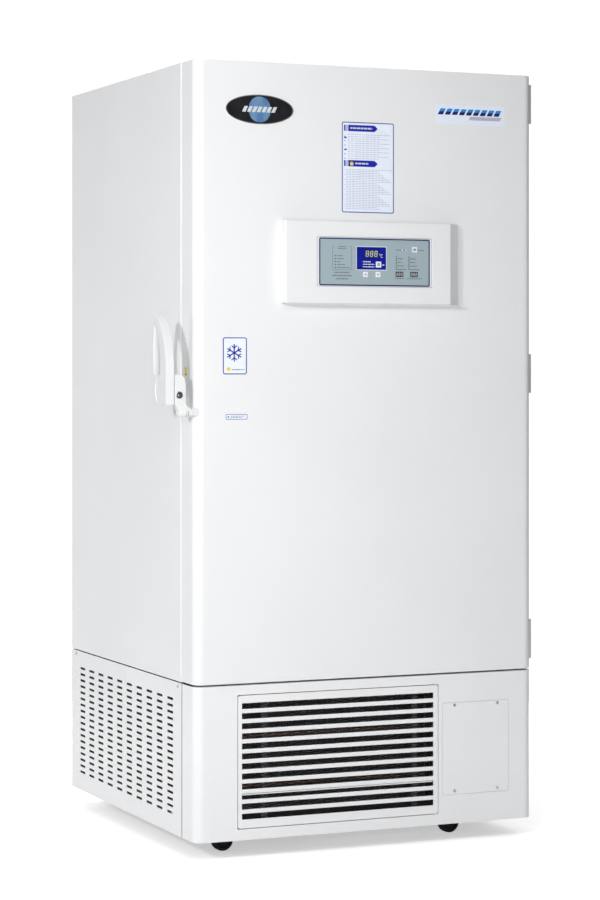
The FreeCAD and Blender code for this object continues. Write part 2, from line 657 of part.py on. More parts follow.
def lock_housing():
    """Lock block, arm and pivot boss of the lever, in one casting."""
    x0, x1 = LOCK_X
    front = LOCK_FRONT
    block = prism([(x0, front, GRIP_BOTTOM + 1), (x0, front, LOCK_TOP), (x1 - 12, front, LOCK_TOP),
                   (x1 - 3, front, LOCK_TOP - 9), (x1, front, LOCK_TOP - 24), (x1, front, GRIP_BOTTOM - 2)],
                  (0, LOCK_BACK - front, 0))
    arm = prism([(x0, front, GRIP_BOTTOM + 2), (x1, front, GRIP_BOTTOM + 2), (-8, front, PIVOT_Z + 4),
                 (-8, front, PIVOT_Z), (-38, front, PIVOT_Z)], (0, 2 * BOSS_R, 0))
    boss = rod("x", (-38, PIVOT_Y, PIVOT_Z), BOSS_R, 30)
    bridge = box(GRIP_X[1], x0, 8, LOCK_BACK - 4, GRIP_BOTTOM + 6, LOCK_TOP - 10)
    shape = joined([block, arm, boss, bridge])
    shape = shape.cut(rod("x", (-30, PIVOT_Y, PIVOT_Z), PIVOT_R + RUNNING, 40))
    bore = rod("y", (KEY_X, front - 1, KEY_Z), KEY_R + RUNNING, 29)
    save("lock_housing", shape.cut(bore))


def latch_hook():
    """Hook arm behind the lock block; its nose reaches over the keeper pin."""
    x0, x1 = HOOK_X
    clear = KEEPER_Z + KEEPER_R + 0.8
    points = [(x0, LOCK_BACK, clear + 6), (x0, KEEPER_Y + 7, clear + 6), (x0, KEEPER_Y + 7, clear),
              (x0, KEEPER_Y + 14, clear), (x0, KEEPER_Y + 14, clear + 22), (x0, LOCK_BACK, clear + 28)]
    save("latch_hook", prism(points, (x1 - x0, 0, 0)))


def latch_keeper():
    plate = soft_box(-4, 0, KEEPER_Y - 6, KEEPER_Y + 40, KEEPER_Z - 24, KEEPER_Z + 24, 4, "x")
    arm = box(-34, 0, KEEPER_Y - 5, KEEPER_Y + 12, KEEPER_Z - 7, KEEPER_Z + 5)
    pin = rod("x", (-52, KEEPER_Y, KEEPER_Z), KEEPER_R, 30)
    save("latch_keeper", joined([plate, arm, pin]))


def handle_pivot():
    """Fixed collar on the door's rounded corner, with the pin that the lever turns on."""
    collar = rod("x", (COLLAR_X, PIVOT_Y, PIVOT_Z), BOSS_R + 0.5, 18).cut(door_outline(0))
    pin = rod("x", (-29.5, PIVOT_Y, PIVOT_Z), PIVOT_R, 29.5 + 16)
    save("handle_pivot", joined([collar, pin]))


def key_cylinder():
    barrel = rod("y", (KEY_X, LOCK_FRONT - 2.5, KEY_Z), KEY_R, 28)
    front_edge = [e for e in barrel.Edges if e.BoundBox.YMax < LOCK_FRONT - 2.4]
    barrel = barrel.makeFillet(1.2, front_edge)
    keyway = box(KEY_X - 1, KEY_X + 1, LOCK_FRONT - 4, LOCK_FRONT + 12, KEY_Z - 4.5, KEY_Z + 4.5)
    save("key_cylinder", barrel.cut(keyway))


# ---- control panel on the door ---------------------------------------------------------------------
HOUSING_X = (229.5, 687.5, 723.5)    # left end, end of the flat face, foot of the right bevel
HOUSING_Z = (1381.0, 1588.0)
HOUSING_WALL = 2.5
HOUSING_EDGE = 3.0                   # rounding of the front edges
CHIN_DROP = 6.5                      # the underside slopes down to the door by this much
CHIN_TAPER = 34.0                    # length over which the slope dies out towards either end
RECESS_X = (315.0, 637.0)
RECESS_Z = (1423.0, 1549.0)
RECESS_DEPTH = 2.5
MEMBRANE_X = (321.5, 629.6)
MEMBRANE_Z = (1426.0, 1546.0)
MEMBRANE = 0.6
WINDOW_X = (425.0, 506.5)
WINDOW_Z = (1467.5, 1524.3)
BUTTONS = {                          # centre x, centre z, cap size
    "button_set": (485.5, 1480.6, 15.0),
    "button_up": (449.0, 1454.8, 13.5),
    "button_down": (484.0, 1455.3, 13.5),
    "button_mute": (586.5, 1519.8, 13.5),
}
BUTTON_PROUD = 1.0
NOTCH_X = (444.0, 501.0)
WIRE_X = 600.0
WIRE_Z = 1460.0
FACE_Y = -PANEL_REACH
RECESS_Y = FACE_Y + RECESS_DEPTH
WALL_BACK_Y = RECESS_Y + HOUSING_WALL
BOARD_Y = -17.5


def button_holes(clearance, y0, y1):
    holes = []
    for x, z, size in BUTTONS.values():
        h = size / 2 + clearance
        holes.append(soft_box(x - h, x + h, y0, y1, z - h, z + h, 1.5, "y"))
    return holes


def housing_block(inset):
    left, flat, foot = HOUSING_X
    low, high = HOUSING_Z
    plan = [(left + inset, 0, low + inset), (left + inset, FACE_Y + inset, low + inset),
            (flat - inset / 2, FACE_Y + inset, low + inset), (foot - 1.5 * inset, 0, low + inset)]
    return prism(plan, (0, 0, high - low - 2 * inset))


def housing_chin():
    """Sloping underside of the housing, drawn in towards both ends."""
    left, _, foot = HOUSING_X
    low = HOUSING_Z[0]
    front = FACE_Y + HOUSING_EDGE
    slope = prism([(left, front, low), (left, 0, low), (left, 0, low - CHIN_DROP)], (foot - left, 0, 0))
    outline = prism([(left, FACE_Y, low), (left + CHIN_TAPER, FACE_Y, low - CHIN_DROP - 1),
                     (foot - CHIN_TAPER, FACE_Y, low - CHIN_DROP - 1), (foot - 2, FACE_Y, low)], (0, -FACE_Y, 0))
    return slope.common(outline)


def control_housing():
    outer = housing_block(0)
    outer = outer.makeFillet(HOUSING_EDGE, [e for e in outer.Edges if e.BoundBox.YMin < FACE_Y + 1e-3])
    outer = joined([outer, housing_chin()])
    shell = outer.cut(moved(housing_block(HOUSING_WALL), 0, RECESS_DEPTH, 0))
    shell = shell.cut(housing_block(HOUSING_WALL).common(box(0, WIDTH, WALL_BACK_Y, 1, 0, HEIGHT)))
    shell = shell.cut(soft_box(*RECESS_X, FACE_Y - 1, RECESS_Y, *RECESS_Z, 4, "y"))
    for hole in button_holes(GAP, FACE_Y, WALL_BACK_Y + 1):
        shell = shell.cut(hole)
    for x in NOTCH_X:
        shell = shell.cut(box(x - 4, x + 4, FACE_Y - 1, FACE_Y + 4, HOUSING_Z[0] - 1, HOUSING_Z[0] + 3))
    save("control_housing", shell)


def control_membrane():
    y0, y1 = RECESS_Y - MEMBRANE, RECESS_Y
    sheet = soft_box(*MEMBRANE_X, y0, y1, *MEMBRANE_Z, 4, "y")
    sheet = sheet.cut(soft_box(*WINDOW_X, y0 - 1, y1 + 1, *WINDOW_Z, 2, "y"))
    for hole in button_holes(GAP, y0 - 1, y1 + 1):
        sheet = sheet.cut(hole)
    save("control_membrane", sheet)


def display_window():
    glass = soft_box(*WINDOW_X, RECESS_Y - MEMBRANE, RECESS_Y, *WINDOW_Z, 2, "y")
    for hole in button_holes(GAP, FACE_Y, 0):
        glass = glass.cut(hole)
    save("display_window", glass)


def buttons():
    for node, (x, z, size) in BUTTONS.items():
        h = size / 2
        front = RECESS_Y - MEMBRANE - BUTTON_PROUD
        cap = soft_box(x - h, x + h, front, WALL_BACK_Y + 0.5, z - h, z + h, 1.2, "y")
        cap = cap.makeFillet(0.5, [e for e in cap.Edges if e.BoundBox.YMax < front + 1e-3])
        flange = box(x - h - 1, x + h + 1, WALL_BACK_Y + 0.4, WALL_BACK_Y + 2, z - h - 1, z + h + 1)
        save(node, joined([cap, flange]))


def control_board():
    low, high = HOUSING_Z
    board = box(300, 650, BOARD_Y, BOARD_Y + 1.6, low + 20, high - 20)
    relay = box(540, 580, BOARD_Y + 1.6, BOARD_Y + 14, low + 40, low + 60)
    coil = box(330, 366, BOARD_Y + 1.6, BOARD_Y + 14, low + 40, low + 76)
    switches = [box(x - 3, x + 3, BOARD_Y - 1.6, BOARD_Y, z - 3, z + 3) for x, z, _ in BUTTONS.values()]
    posts = []
    for x in (310, 640):
        for z in (low + 30, high - 30):
            posts.append(rod("y", (x, BOARD_Y + 1.6, z), 4, -BOARD_Y - 1.6))
    save("control_board", joined([board, relay, coil] + switches + posts))


# ---- front grille ----------------------------------------------------------------------------------
def grille_door():
    g = GRILLE_GAP
    x0, x1 = GRILLE_X[0] + g, GRILLE_X[1] - g
    z0, z1 = GRILLE_Z[0] + g, GRILLE_Z[1] - g
    t = COVER_SHEET
    outline = soft_box(x0, x1, 0, GRILLE_DEPTH, z0, z1, GRILLE_CORNER, "y")
    tray = outline.cut(soft_box(x0 + t, x1 - t, t, GRILLE_DEPTH + 1, z0 + t, z1 - t, GRILLE_CORNER - t, "y"))
    slots = [box(*SLOT_X, -1, t + 1, top - SLOT_HEIGHT, top)
             for top in (SLOT_TOP - SLOT_PITCH * n for n in range(SLOTS))]
    tray = tray.cut(Part.Compound(slots))
    px, py = GRILLE_PIVOT
    lug_r = 3.5
    lug = 12.0
    pins = []
    for inner, outer in ((z0 + lug, z0 - g - t), (z1 - lug, z1 + g + t)):
        low, high = min(inner, outer), max(inner, outer)
        pins.append(rod("z", (px, py, low), GRILLE_PIN_R, high - low))
    low_lug = box(px - lug_r, x1, t / 2, py + lug_r, z0, z0 + lug).common(outline)
    high_lug = box(px - lug_r, x1, t / 2, py + lug_r, z1 - lug, z1).common(outline)
    save("grille_door", joined([tray, low_lug, high_lug] + pins))


def air_filter():
    slab = soft_box(SLOT_X[0] - 4, SLOT_X[1] + 2, GRILLE_DEPTH, GRILLE_DEPTH + 6,
                    GRILLE_Z[0] + 9, GRILLE_Z[1] - 8, 4, "y")
    save("air_filter", slab)


# ---- refrigeration ---------------------------------------------------------------------------------
COMPRESSORS = {"compressor_first_stage": 250.0, "compressor_second_stage": 690.0}
COMPRESSOR_Y = 720.0
COMPRESSOR_R = 92.0
COMPRESSOR_H = 250.0


def compressor(x):
    """Hermetic compressor: domed can on a foot plate, with its terminal box and stub pipes."""
    y = COMPRESSOR_Y
    can = rod("z", (x, y, PAN_TOP + 12), COMPRESSOR_R, COMPRESSOR_H)
    can = can.makeFillet(45, [e for e in can.Edges if e.BoundBox.ZLength < 1e-6])
    seam = rod("z", (x, y, PAN_TOP + 12 + COMPRESSOR_H * 0.55), COMPRESSOR_R + 3, 8)
    foot = soft_box(x - 95, x + 95, y - 70, y + 70, PAN_TOP + 10, PAN_TOP + 14, 12, "z")
    saddle = rod("z", (x, y, PAN_TOP + 13), 60, 20)
    terminals = soft_box(x - 28, x + 28, y - COMPRESSOR_R - 20, y - COMPRESSOR_R + 15,
                         PAN_TOP + 120, PAN_TOP + 180, 5, "y")
    grommets = [rod("z", (x + dx, y + dy, PAN_TOP), 10, 11) for dx in (-80, 80) for dy in (-55, 55)]
    return joined([can, seam, foot, saddle, terminals] + grommets)


CONDENSER = (130.0, 650.0, 45.0, 95.0, 112.0, 402.0)
FAN_X = 390.0
FAN_Z = 257.0
FAN_R = 120.0
SHROUD_Y = (96.0, 160.0)
SHAFT_R = 4.0
BLADE_Y = (118.0, 142.0)


def condenser_coil():
    """Finned block: end plates, a row of fins and the tubes that thread them."""
    x0, x1, y0, y1, z0, z1 = CONDENSER
    ends = [box(x0, x0 + 2, y0, y1, z0, z1), box(x1 - 2, x1, y0, y1, z0, z1)]
    core = box(x0 + 2, x1 - 2, y0 + 4, y1 - 4, z0 + 4, z1 - 4)
    rows = 7
    pitch = (z1 - z0) / rows
    bends = []
    for row in range(rows):
        z = z0 + pitch * (row + 0.5)
        bend = Part.makeTorus(12, 4.5, V(x1, (y0 + y1) / 2, z), AXES["z"], 0, 360, 180)
        bend.rotate(V(x1, (y0 + y1) / 2, z), AXES["z"], -90)
        bends.append(bend)
    save("condenser_coil", joined([core] + ends + bends))


def fan_shroud():
    """Mounting plate in four corner pieces, the rim round the blades and the motor's spider."""
    x0, x1, z0, z1 = CONDENSER[0], CONDENSER[1], CONDENSER[4], CONDENSER[5]
    y0, y1 = SHROUD_Y
    hole = rod("y", (FAN_X, y0 - 1, FAN_Z), FAN_R + 8, 4)
    quarters = []
    for a, b in ((x0, FAN_X), (FAN_X, x1)):
        for c, d in ((z0, FAN_Z), (FAN_Z, z1)):
            quarters.append(box(a, b, y0, y0 + 2, c, d).cut(hole))
    rim = ring("y", (FAN_X, y0, FAN_Z), FAN_R + 8, FAN_R + 6, y1 - y0 - 4)
    arm = box(FAN_X - 8, FAN_X + 8, y1 - 4, y1, FAN_Z + 37, FAN_Z + FAN_R + 7)
    arms = []
    for quarter in range(4):
        turned_arm = arm.copy()
        turned_arm.rotate(V(FAN_X, 0, FAN_Z), AXES["y"], 90 * quarter)
        arms.append(turned_arm)
    hub = ring("y", (FAN_X, y1 - 4, FAN_Z), 40, 34, 4)
    save("fan_shroud", *quarters, rim, joined([hub] + arms))


def fan_motor():
    y = SHROUD_Y[1] - 12
    body = rod("y", (FAN_X, y, FAN_Z), 34, 62)
    body = body.makeFillet(8, [e for e in body.Edges if e.BoundBox.YMin > y + 60])
    shaft = rod("y", (FAN_X, BLADE_Y[0] - 6, FAN_Z), SHAFT_R, y - BLADE_Y[0] + 8)
    save("fan_motor", joined([body, shaft]))


def fan_blade():
    y0, y1 = BLADE_Y
    hub = rod("y", (FAN_X, y0, FAN_Z), 24, y1 - y0)
    blades = []
    count = 5
    for n in range(count):
        blade = prism([(FAN_X - 26, y0 + 2, FAN_Z + 15), (FAN_X + 26, y1 - 4, FAN_Z + 15),
                       (FAN_X + 26, y1 - 1, FAN_Z + 15), (FAN_X - 26, y0 + 5, FAN_Z + 15)],
                      (0, 0, FAN_R - 18))
        blade.rotate(V(FAN_X, 0, FAN_Z), AXES["y"], n * 360 / count)
        blades.append(blade)
    rotor = joined([hub] + blades)
    save("fan_blade", rotor.cut(rod("y", (FAN_X, y0 - 1, FAN_Z), SHAFT_R + RUNNING, y1 - y0 + 2)))


PIPE_R = 5.0


def refrigerant_pipes():
    """Discharge, inter-stage and suction lines, and the filter drier in the liquid line."""
    first = COMPRESSORS["compressor_first_stage"]
    second = COMPRESSORS["compressor_second_stage"]
    stub = COMPRESSOR_R + 1
    level = PAN_TOP + 200
    bend = 25.0
    discharge = tube([(first - 60, COMPRESSOR_Y - stub, level), (first - 60, 400, level),
                      (70, 400, level), (70, 70, level), (129, 70, level)], PIPE_R, bend)
    interstage = tube([(first + stub, COMPRESSOR_Y, level), (470, COMPRESSOR_Y, level),
                       (470, COMPRESSOR_Y, 370), (560, COMPRESSOR_Y, 370),
                       (560, COMPRESSOR_Y, level), (second - stub, COMPRESSOR_Y, level)], PIPE_R, bend)
    suction = tube([(second + 40, COMPRESSOR_Y + stub, level), (second + 40, 870, level),
                    (second + 40, 870, CABINET_BOTTOM - 1)], PIPE_R + 1, bend)
    drier = rod("z", (100, 500, 200), 16, 110)
    drier = drier.makeFillet(10, [e for e in drier.Edges if e.BoundBox.ZLength < 1e-6])
    liquid = tube([(100, 500, 309), (100, 500, 360), (100, 560, 360), (100, 560, CABINET_BOTTOM - 1)],
                  3.0, 12.0)
    save("refrigerant_pipes", discharge, interstage, suction, drier, liquid)


def electrical_box():
    box_shape = soft_box(690, 880, 150, 330, PAN_TOP, 370, 4, "z")
    rails = [box(700, 870, 146, 150, z, z + 12) for z in (170, 250, 330)]
    save("electrical_box", joined([box_shape] + rails))


def backup_battery():
    case = soft_box(712, 838, 26, 84, 140, 236, 3, "z")
    posts = [rod("z", (x, 55, 235), 5, 9) for x in (732, 818)]
    shelf = box(705, 845, 24, 110, 136.5, 139.5)
    leg = box(705, 845, 107, 110, PAN_TOP, 136.5)
    save("backup_battery", joined([case] + posts), joined([shelf, leg]))


# ---- inner doors -----------------------------------------------------------------------------------
INNER_DOOR_X = (INNER_LEFT + 4, INNER_RIGHT - 4)
INNER_DOOR_Y = (118.0, 158.0)
INNER_DOOR_SPLIT = shelf_top(2)
INNER_PIVOT = (INNER_DOOR_X[1] - 6, INNER_DOOR_Y[0] + 6)
INNER_PIN_R = 3.0
INNER_PIN_REACH = 14.0


def inner_door(low, high):
    x0, x1 = INNER_DOOR_X
    y0, y1 = INNER_DOOR_Y
    slab = soft_box(x0, x1, y0, y1, low, high, 4, "z")
    field = box(x0 + 40, x1 - 40, y0 - 1, y0 + 3, low + 40, high - 40)
    field = field.makeFillet(2.5, edges_along(field, "y"))
    slab = slab.cut(field)
    pull_z = (low + high) / 2
    pull = soft_box(x0 + 60, x0 + 80, y0 - 1, y0 + 5, pull_z - 60, pull_z + 60, 2, "y")
    px, py = INNER_PIVOT
    for z in (low - 1, high - INNER_PIN_REACH):
        slab = slab.cut(rod("z", (px, py, z), INNER_PIN_R + RUNNING, INNER_PIN_REACH + 1))
    return joined([slab, pull])


def inner_doors():
    half_gap = 3.0
    save("inner_door_upper", inner_door(INNER_DOOR_SPLIT + half_gap, INNER_TOP - 5))
    save("inner_door_lower", inner_door(INNER_FLOOR + 5, INNER_DOOR_SPLIT - half_gap))


def inner_door_pivots():
    px, py = INNER_PIVOT
    x0, x1 = px - 8, INNER_RIGHT
    y0, y1 = py - 8, py + 12
    reach = INNER_PIN_REACH - 2
    top = joined([box(x0, x1, y0, y1, INNER_TOP - 4, INNER_TOP),
                  rod("z", (px, py, INNER_TOP - 5 - reach), INNER_PIN_R, reach + 2)])
    bottom = joined([box(x0, x1, y0, y1, INNER_FLOOR, INNER_FLOOR + 4),
                     rod("z", (px, py, INNER_FLOOR + 3), INNER_PIN_R, reach + 2)])
    middle = joined([box(x0, x1, y0, y1, INNER_DOOR_SPLIT - 2, INNER_DOOR_SPLIT + 2),
                     rod("z", (px, py, INNER_DOOR_SPLIT - 3 - reach), INNER_PIN_R, 2 * reach + 6)])
    save("inner_door_pivots", top, middle, bottom)


# ---- casters ---------------------------------------------------------------------------------------
WHEEL_R = 27.0
WHEEL_WIDTH = 24.0
AXLE_R = 4.0
DISH = 3.0               # depth of the ring recessed in each side of a wheel
TRAIL = 22.0
CROWN_BOTTOM = 58.0
CROWN_TOP = 64.0
LEG = 3.0
PLATE = 4.0
SWIVEL_R = 6.0
FRONT_CASTERS = {"left": CASTER_INSET, "right": WIDTH - CASTER_INSET}


def wheel(centre, axis):
    """Solid tyre with rounded shoulders and a bore that runs on the axle."""
    x, y, z = centre
    half = AXES[axis] * (WHEEL_WIDTH / 2)
    start = (x - half.x, y - half.y, z)
    tread = rod(axis, start, WHEEL_R, WHEEL_WIDTH)
    tread = tread.makeFillet(4, [e for e in tread.Edges if abs(e.Length - 2 * math.pi * WHEEL_R) < 1])
    far = V(x, y, z) + half - AXES[axis] * DISH
    for face in (V(*start), far):
        tread = tread.cut(ring(axis, (face.x, face.y, face.z), 18, 10, DISH))
    return tread.cut(rod(axis, start, AXLE_R + RUNNING, WHEEL_WIDTH))


def fork(x, y, wheel_x, swivel):
    """Fork over a wheel that turns about y, with its axle and, on a swivel fork, the kingpin."""
    half = WHEEL_WIDTH / 2 + 1
    low = WHEEL_R - 8
    crown_x = (min(x, wheel_x) - 18, max(x, wheel_x) + 14)
    legs = []
    for y0 in (y - half - LEG, y + half):
        legs.append(prism([(wheel_x - 9, y0, low), (wheel_x + 9, y0, low), (crown_x[1], y0, CROWN_BOTTOM),
                           (crown_x[1], y0, CROWN_TOP), (crown_x[0] + 4, y0, CROWN_TOP),
                           (crown_x[0] + 4, y0, CROWN_BOTTOM - 6)], (0, LEG, 0)))
    crown = box(crown_x[0] + 4, crown_x[1], y - half, y + half, CROWN_BOTTOM, CROWN_TOP)
    axle = rod("y", (wheel_x, y - half - LEG - 2, WHEEL_R), AXLE_R, 2 * (half + LEG + 2))
    pieces = legs + [crown, axle]
    if swivel:
        pieces.append(rod("z", (x, y, CROWN_BOTTOM + 1), 22, CROWN_TOP + 3 - CROWN_BOTTOM - 1))
        pieces.append(rod("z", (x, y, CROWN_TOP), SWIVEL_R, RAIL_BOTTOM - CROWN_TOP - 1))
    return joined(pieces)


def turned(shape, x, y):
    """Quarter turn about the vertical line through x, y, so that the wheel rolls front to back."""
    copy = shape.copy()
    copy.rotate(V(x, y, 0), AXES["z"], 90)
    return copy


def casters():
    plates = []
    for side, x in FRONT_CASTERS.items():
        wheel_x = x - TRAIL
        save("caster_fork_" + side, fork(x, CASTER_FRONT, wheel_x, True))
        save("caster_wheel_front_" + side, wheel((wheel_x, CASTER_FRONT, WHEEL_R), "y"))
        plate = soft_box(x - 32, x + 32, CASTER_FRONT - 32, CASTER_FRONT + 32,
                         RAIL_BOTTOM - PLATE - 3, RAIL_BOTTOM, 6, "z")
        plate = plate.cut(box(x - 33, x + 33, CASTER_FRONT - 33, CASTER_FRONT + 33,
                              RAIL_BOTTOM - PLATE - 4, RAIL_BOTTOM - PLATE)
                          .cut(rod("z", (x, CASTER_FRONT, 0), 24, 200)))
        plates.append(plate.cut(rod("z", (x, CASTER_FRONT, 0), SWIVEL_R + RUNNING, RAIL_BOTTOM)))
    save("front_caster_plates", *plates)
    forks = []
    for side, x in FRONT_CASTERS.items():
        lifted = fork(x, CASTER_REAR, x, False)
        spine = box(x - 14, x + 14, CASTER_REAR - 14, CASTER_REAR + 14, CROWN_TOP - 1, RAIL_BOTTOM)
        forks.append(turned(joined([lifted, spine]), x, CASTER_REAR))
        save("caster_wheel_rear_" + side, wheel((x, CASTER_REAR, WHEEL_R), "x"))
    save("rear_caster_forks", *forks)


# ---- build every node ------------------------------------------------------------------------------
base_frame()
base_front_cover()
service_cover()
base_vent_panels()
base_rear_cover()
panel_screws()
cabinet_shell()
cabinet_rear_panel()
cabinet_deck()
cabinet_foam()
inner_liner()
breaker_frame()
shelves()
shelf_supports()
rear_spacers()
access_port_plug()
power_inlet()
door_skin()
door_foam()
door_inner_panel()
door_gasket()
hinges()
handle_grip()
lock_housing()
latch_hook()
latch_keeper()
handle_pivot()
key_cylinder()
control_housing()
control_membrane()
display_window()
buttons()
control_board()
grille_door()
air_filter()
for compressor_node, compressor_x in COMPRESSORS.items():
    save(compressor_node, compressor(compressor_x))
condenser_coil()
fan_shroud()
fan_motor()
fan_blade()
refrigerant_pipes()
electrical_box()
backup_battery()
inner_doors()
inner_door_pivots()
casters()
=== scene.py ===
"""Looks of an upright ultra-low-temperature freezer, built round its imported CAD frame.

Everything is in metres, in the frame's own coordinates: x to the hinge side, y to the back, z up.
Pieces hold their place in their vertices, so every object sits at the origin.
"""

import json
import math

import bmesh
import bpy
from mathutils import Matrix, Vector


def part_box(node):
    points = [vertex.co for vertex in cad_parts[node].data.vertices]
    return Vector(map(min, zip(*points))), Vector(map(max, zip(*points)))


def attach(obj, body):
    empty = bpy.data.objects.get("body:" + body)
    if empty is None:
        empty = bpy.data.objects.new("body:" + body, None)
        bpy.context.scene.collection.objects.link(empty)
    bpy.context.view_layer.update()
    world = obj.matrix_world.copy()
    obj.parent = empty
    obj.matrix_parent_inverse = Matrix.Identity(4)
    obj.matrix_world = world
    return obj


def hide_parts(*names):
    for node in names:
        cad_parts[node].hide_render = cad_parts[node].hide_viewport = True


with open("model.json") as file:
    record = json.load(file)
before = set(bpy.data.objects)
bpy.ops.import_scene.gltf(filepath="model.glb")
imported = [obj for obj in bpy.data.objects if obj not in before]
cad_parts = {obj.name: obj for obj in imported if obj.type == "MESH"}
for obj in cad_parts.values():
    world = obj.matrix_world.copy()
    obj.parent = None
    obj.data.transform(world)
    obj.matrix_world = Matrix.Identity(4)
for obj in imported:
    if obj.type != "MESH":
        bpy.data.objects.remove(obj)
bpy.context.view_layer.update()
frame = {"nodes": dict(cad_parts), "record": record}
MM = 0.001
BODY_OF = {node: body for body, nodes in frame["record"]["behaviour"]["bodies"].items() for node in nodes}


# ---- camera, light and floor -----------------------------------------------------------------------
CAMERA_AT = (-2.7023, -6.3034, 1.2202)
CAMERA_YAW = 23.53
CAMERA_LENS = 101.8
CAMERA_RISE = -0.0914
BACKDROP = 1.05          # strength of the white that the camera sees
DOME_DIM, DOME_BRIGHT = 0.03, 0.32
DOME_BRIGHTEST = (-0.45, -0.55, 0.7)
FLOOR_R = 2.6            # the floor is a disc that glows into the white backdrop at its edge
LIGHTS = (               # name, place, target, width, height, watts
    ("key", (-4.6, -3.2, 2.6), (-0.2, -0.4, 1.1), 0.4, 0.5, 120),
    ("strip", (-0.95, -2.15, 1.6), (-0.2, -0.4, 1.2), 0.5, 2.2, 23),
    ("left", (-2.4, 1.5, 1.3), (-0.44, 0.6, 1.0), 0.8, 2.0, 20),
    ("right", (3.9, -2.2, 1.8), (0.2, -0.4, 1.2), 0.7, 2.2, 20),
    ("back", (1.8, 4.6, 2.6), (0.0, 0.4, 1.0), 1.6, 1.6, 60),
    ("top", (0.3, 0.5, 4.4), (0.0, 0.0, 2.0), 1.4, 1.4, 40),
)


def turns(steps):
    """Angles of equal steps round a full turn."""
    return [2 * math.pi * step / steps for step in range(steps)]


def make_camera():
    data = bpy.data.cameras.new("camera")
    data.lens = CAMERA_LENS
    data.sensor_width = 36.0
    data.shift_y = CAMERA_RISE
    camera = bpy.data.objects.new("camera", data)
    camera.location = CAMERA_AT
    camera.rotation_euler = (math.radians(90), 0, -math.radians(CAMERA_YAW))
    bpy.context.scene.collection.objects.link(camera)
    bpy.context.scene.camera = camera


def softbox(name, at, target, width, height, power):
    data = bpy.data.lights.new(name, "AREA")
    data.shape = "RECTANGLE"
    data.size = width
    data.size_y = height
    data.energy = power
    light = bpy.data.objects.new(name, data)
    light.location = at
    light.rotation_euler = (Vector(target) - Vector(at)).to_track_quat("-Z", "Y").to_euler()
    bpy.context.scene.collection.objects.link(light)


def make_world():
    """White backdrop for the eye, and a dome that lights the object most from above and the front left."""
    world = bpy.data.worlds.new("studio")
    world.use_nodes = True
    nodes = world.node_tree.nodes
    links = world.node_tree.links
    seen = nodes["Background"]
    seen.inputs["Color"].default_value = (1, 1, 1, 1)
    seen.inputs["Strength"].default_value = BACKDROP
    toward = nodes.new("ShaderNodeVectorMath")
    toward.operation = "DOT_PRODUCT"
    toward.inputs[1].default_value = Vector(DOME_BRIGHTEST).normalized()
    links.new(nodes.new("ShaderNodeTexCoord").outputs["Generated"], toward.inputs[0])
    level = nodes.new("ShaderNodeMapRange")
    level.inputs["From Min"].default_value = -1.0
    level.inputs["To Min"].default_value = DOME_DIM
    level.inputs["To Max"].default_value = DOME_BRIGHT
    links.new(toward.outputs["Value"], level.inputs["Value"])
    lit = nodes.new("ShaderNodeBackground")
    lit.inputs["Color"].default_value = (0.985, 0.992, 1, 1)
    links.new(level.outputs["Result"], lit.inputs["Strength"])
    rays = nodes.new("ShaderNodeLightPath")
    mix = nodes.new("ShaderNodeMixShader")
    links.new(rays.outputs["Is Camera Ray"], mix.inputs[0])
    links.new(lit.outputs[0], mix.inputs[1])
    links.new(seen.outputs[0], mix.inputs[2])
    links.new(mix.outputs[0], nodes["World Output"].inputs["Surface"])
    bpy.context.scene.world = world


def make_floor(material):
    bm = bmesh.new()
    bm.faces.new([bm.verts.new((FLOOR_R * math.cos(t), FLOOR_R * math.sin(t), 0)) for t in turns(96)])
    mesh = bpy.data.meshes.new("floor")
    bm.to_mesh(mesh)
    bm.free()
    mesh.materials.append(material)
    floor = bpy.data.objects.new("floor", mesh)
    bpy.context.scene.collection.objects.link(floor)


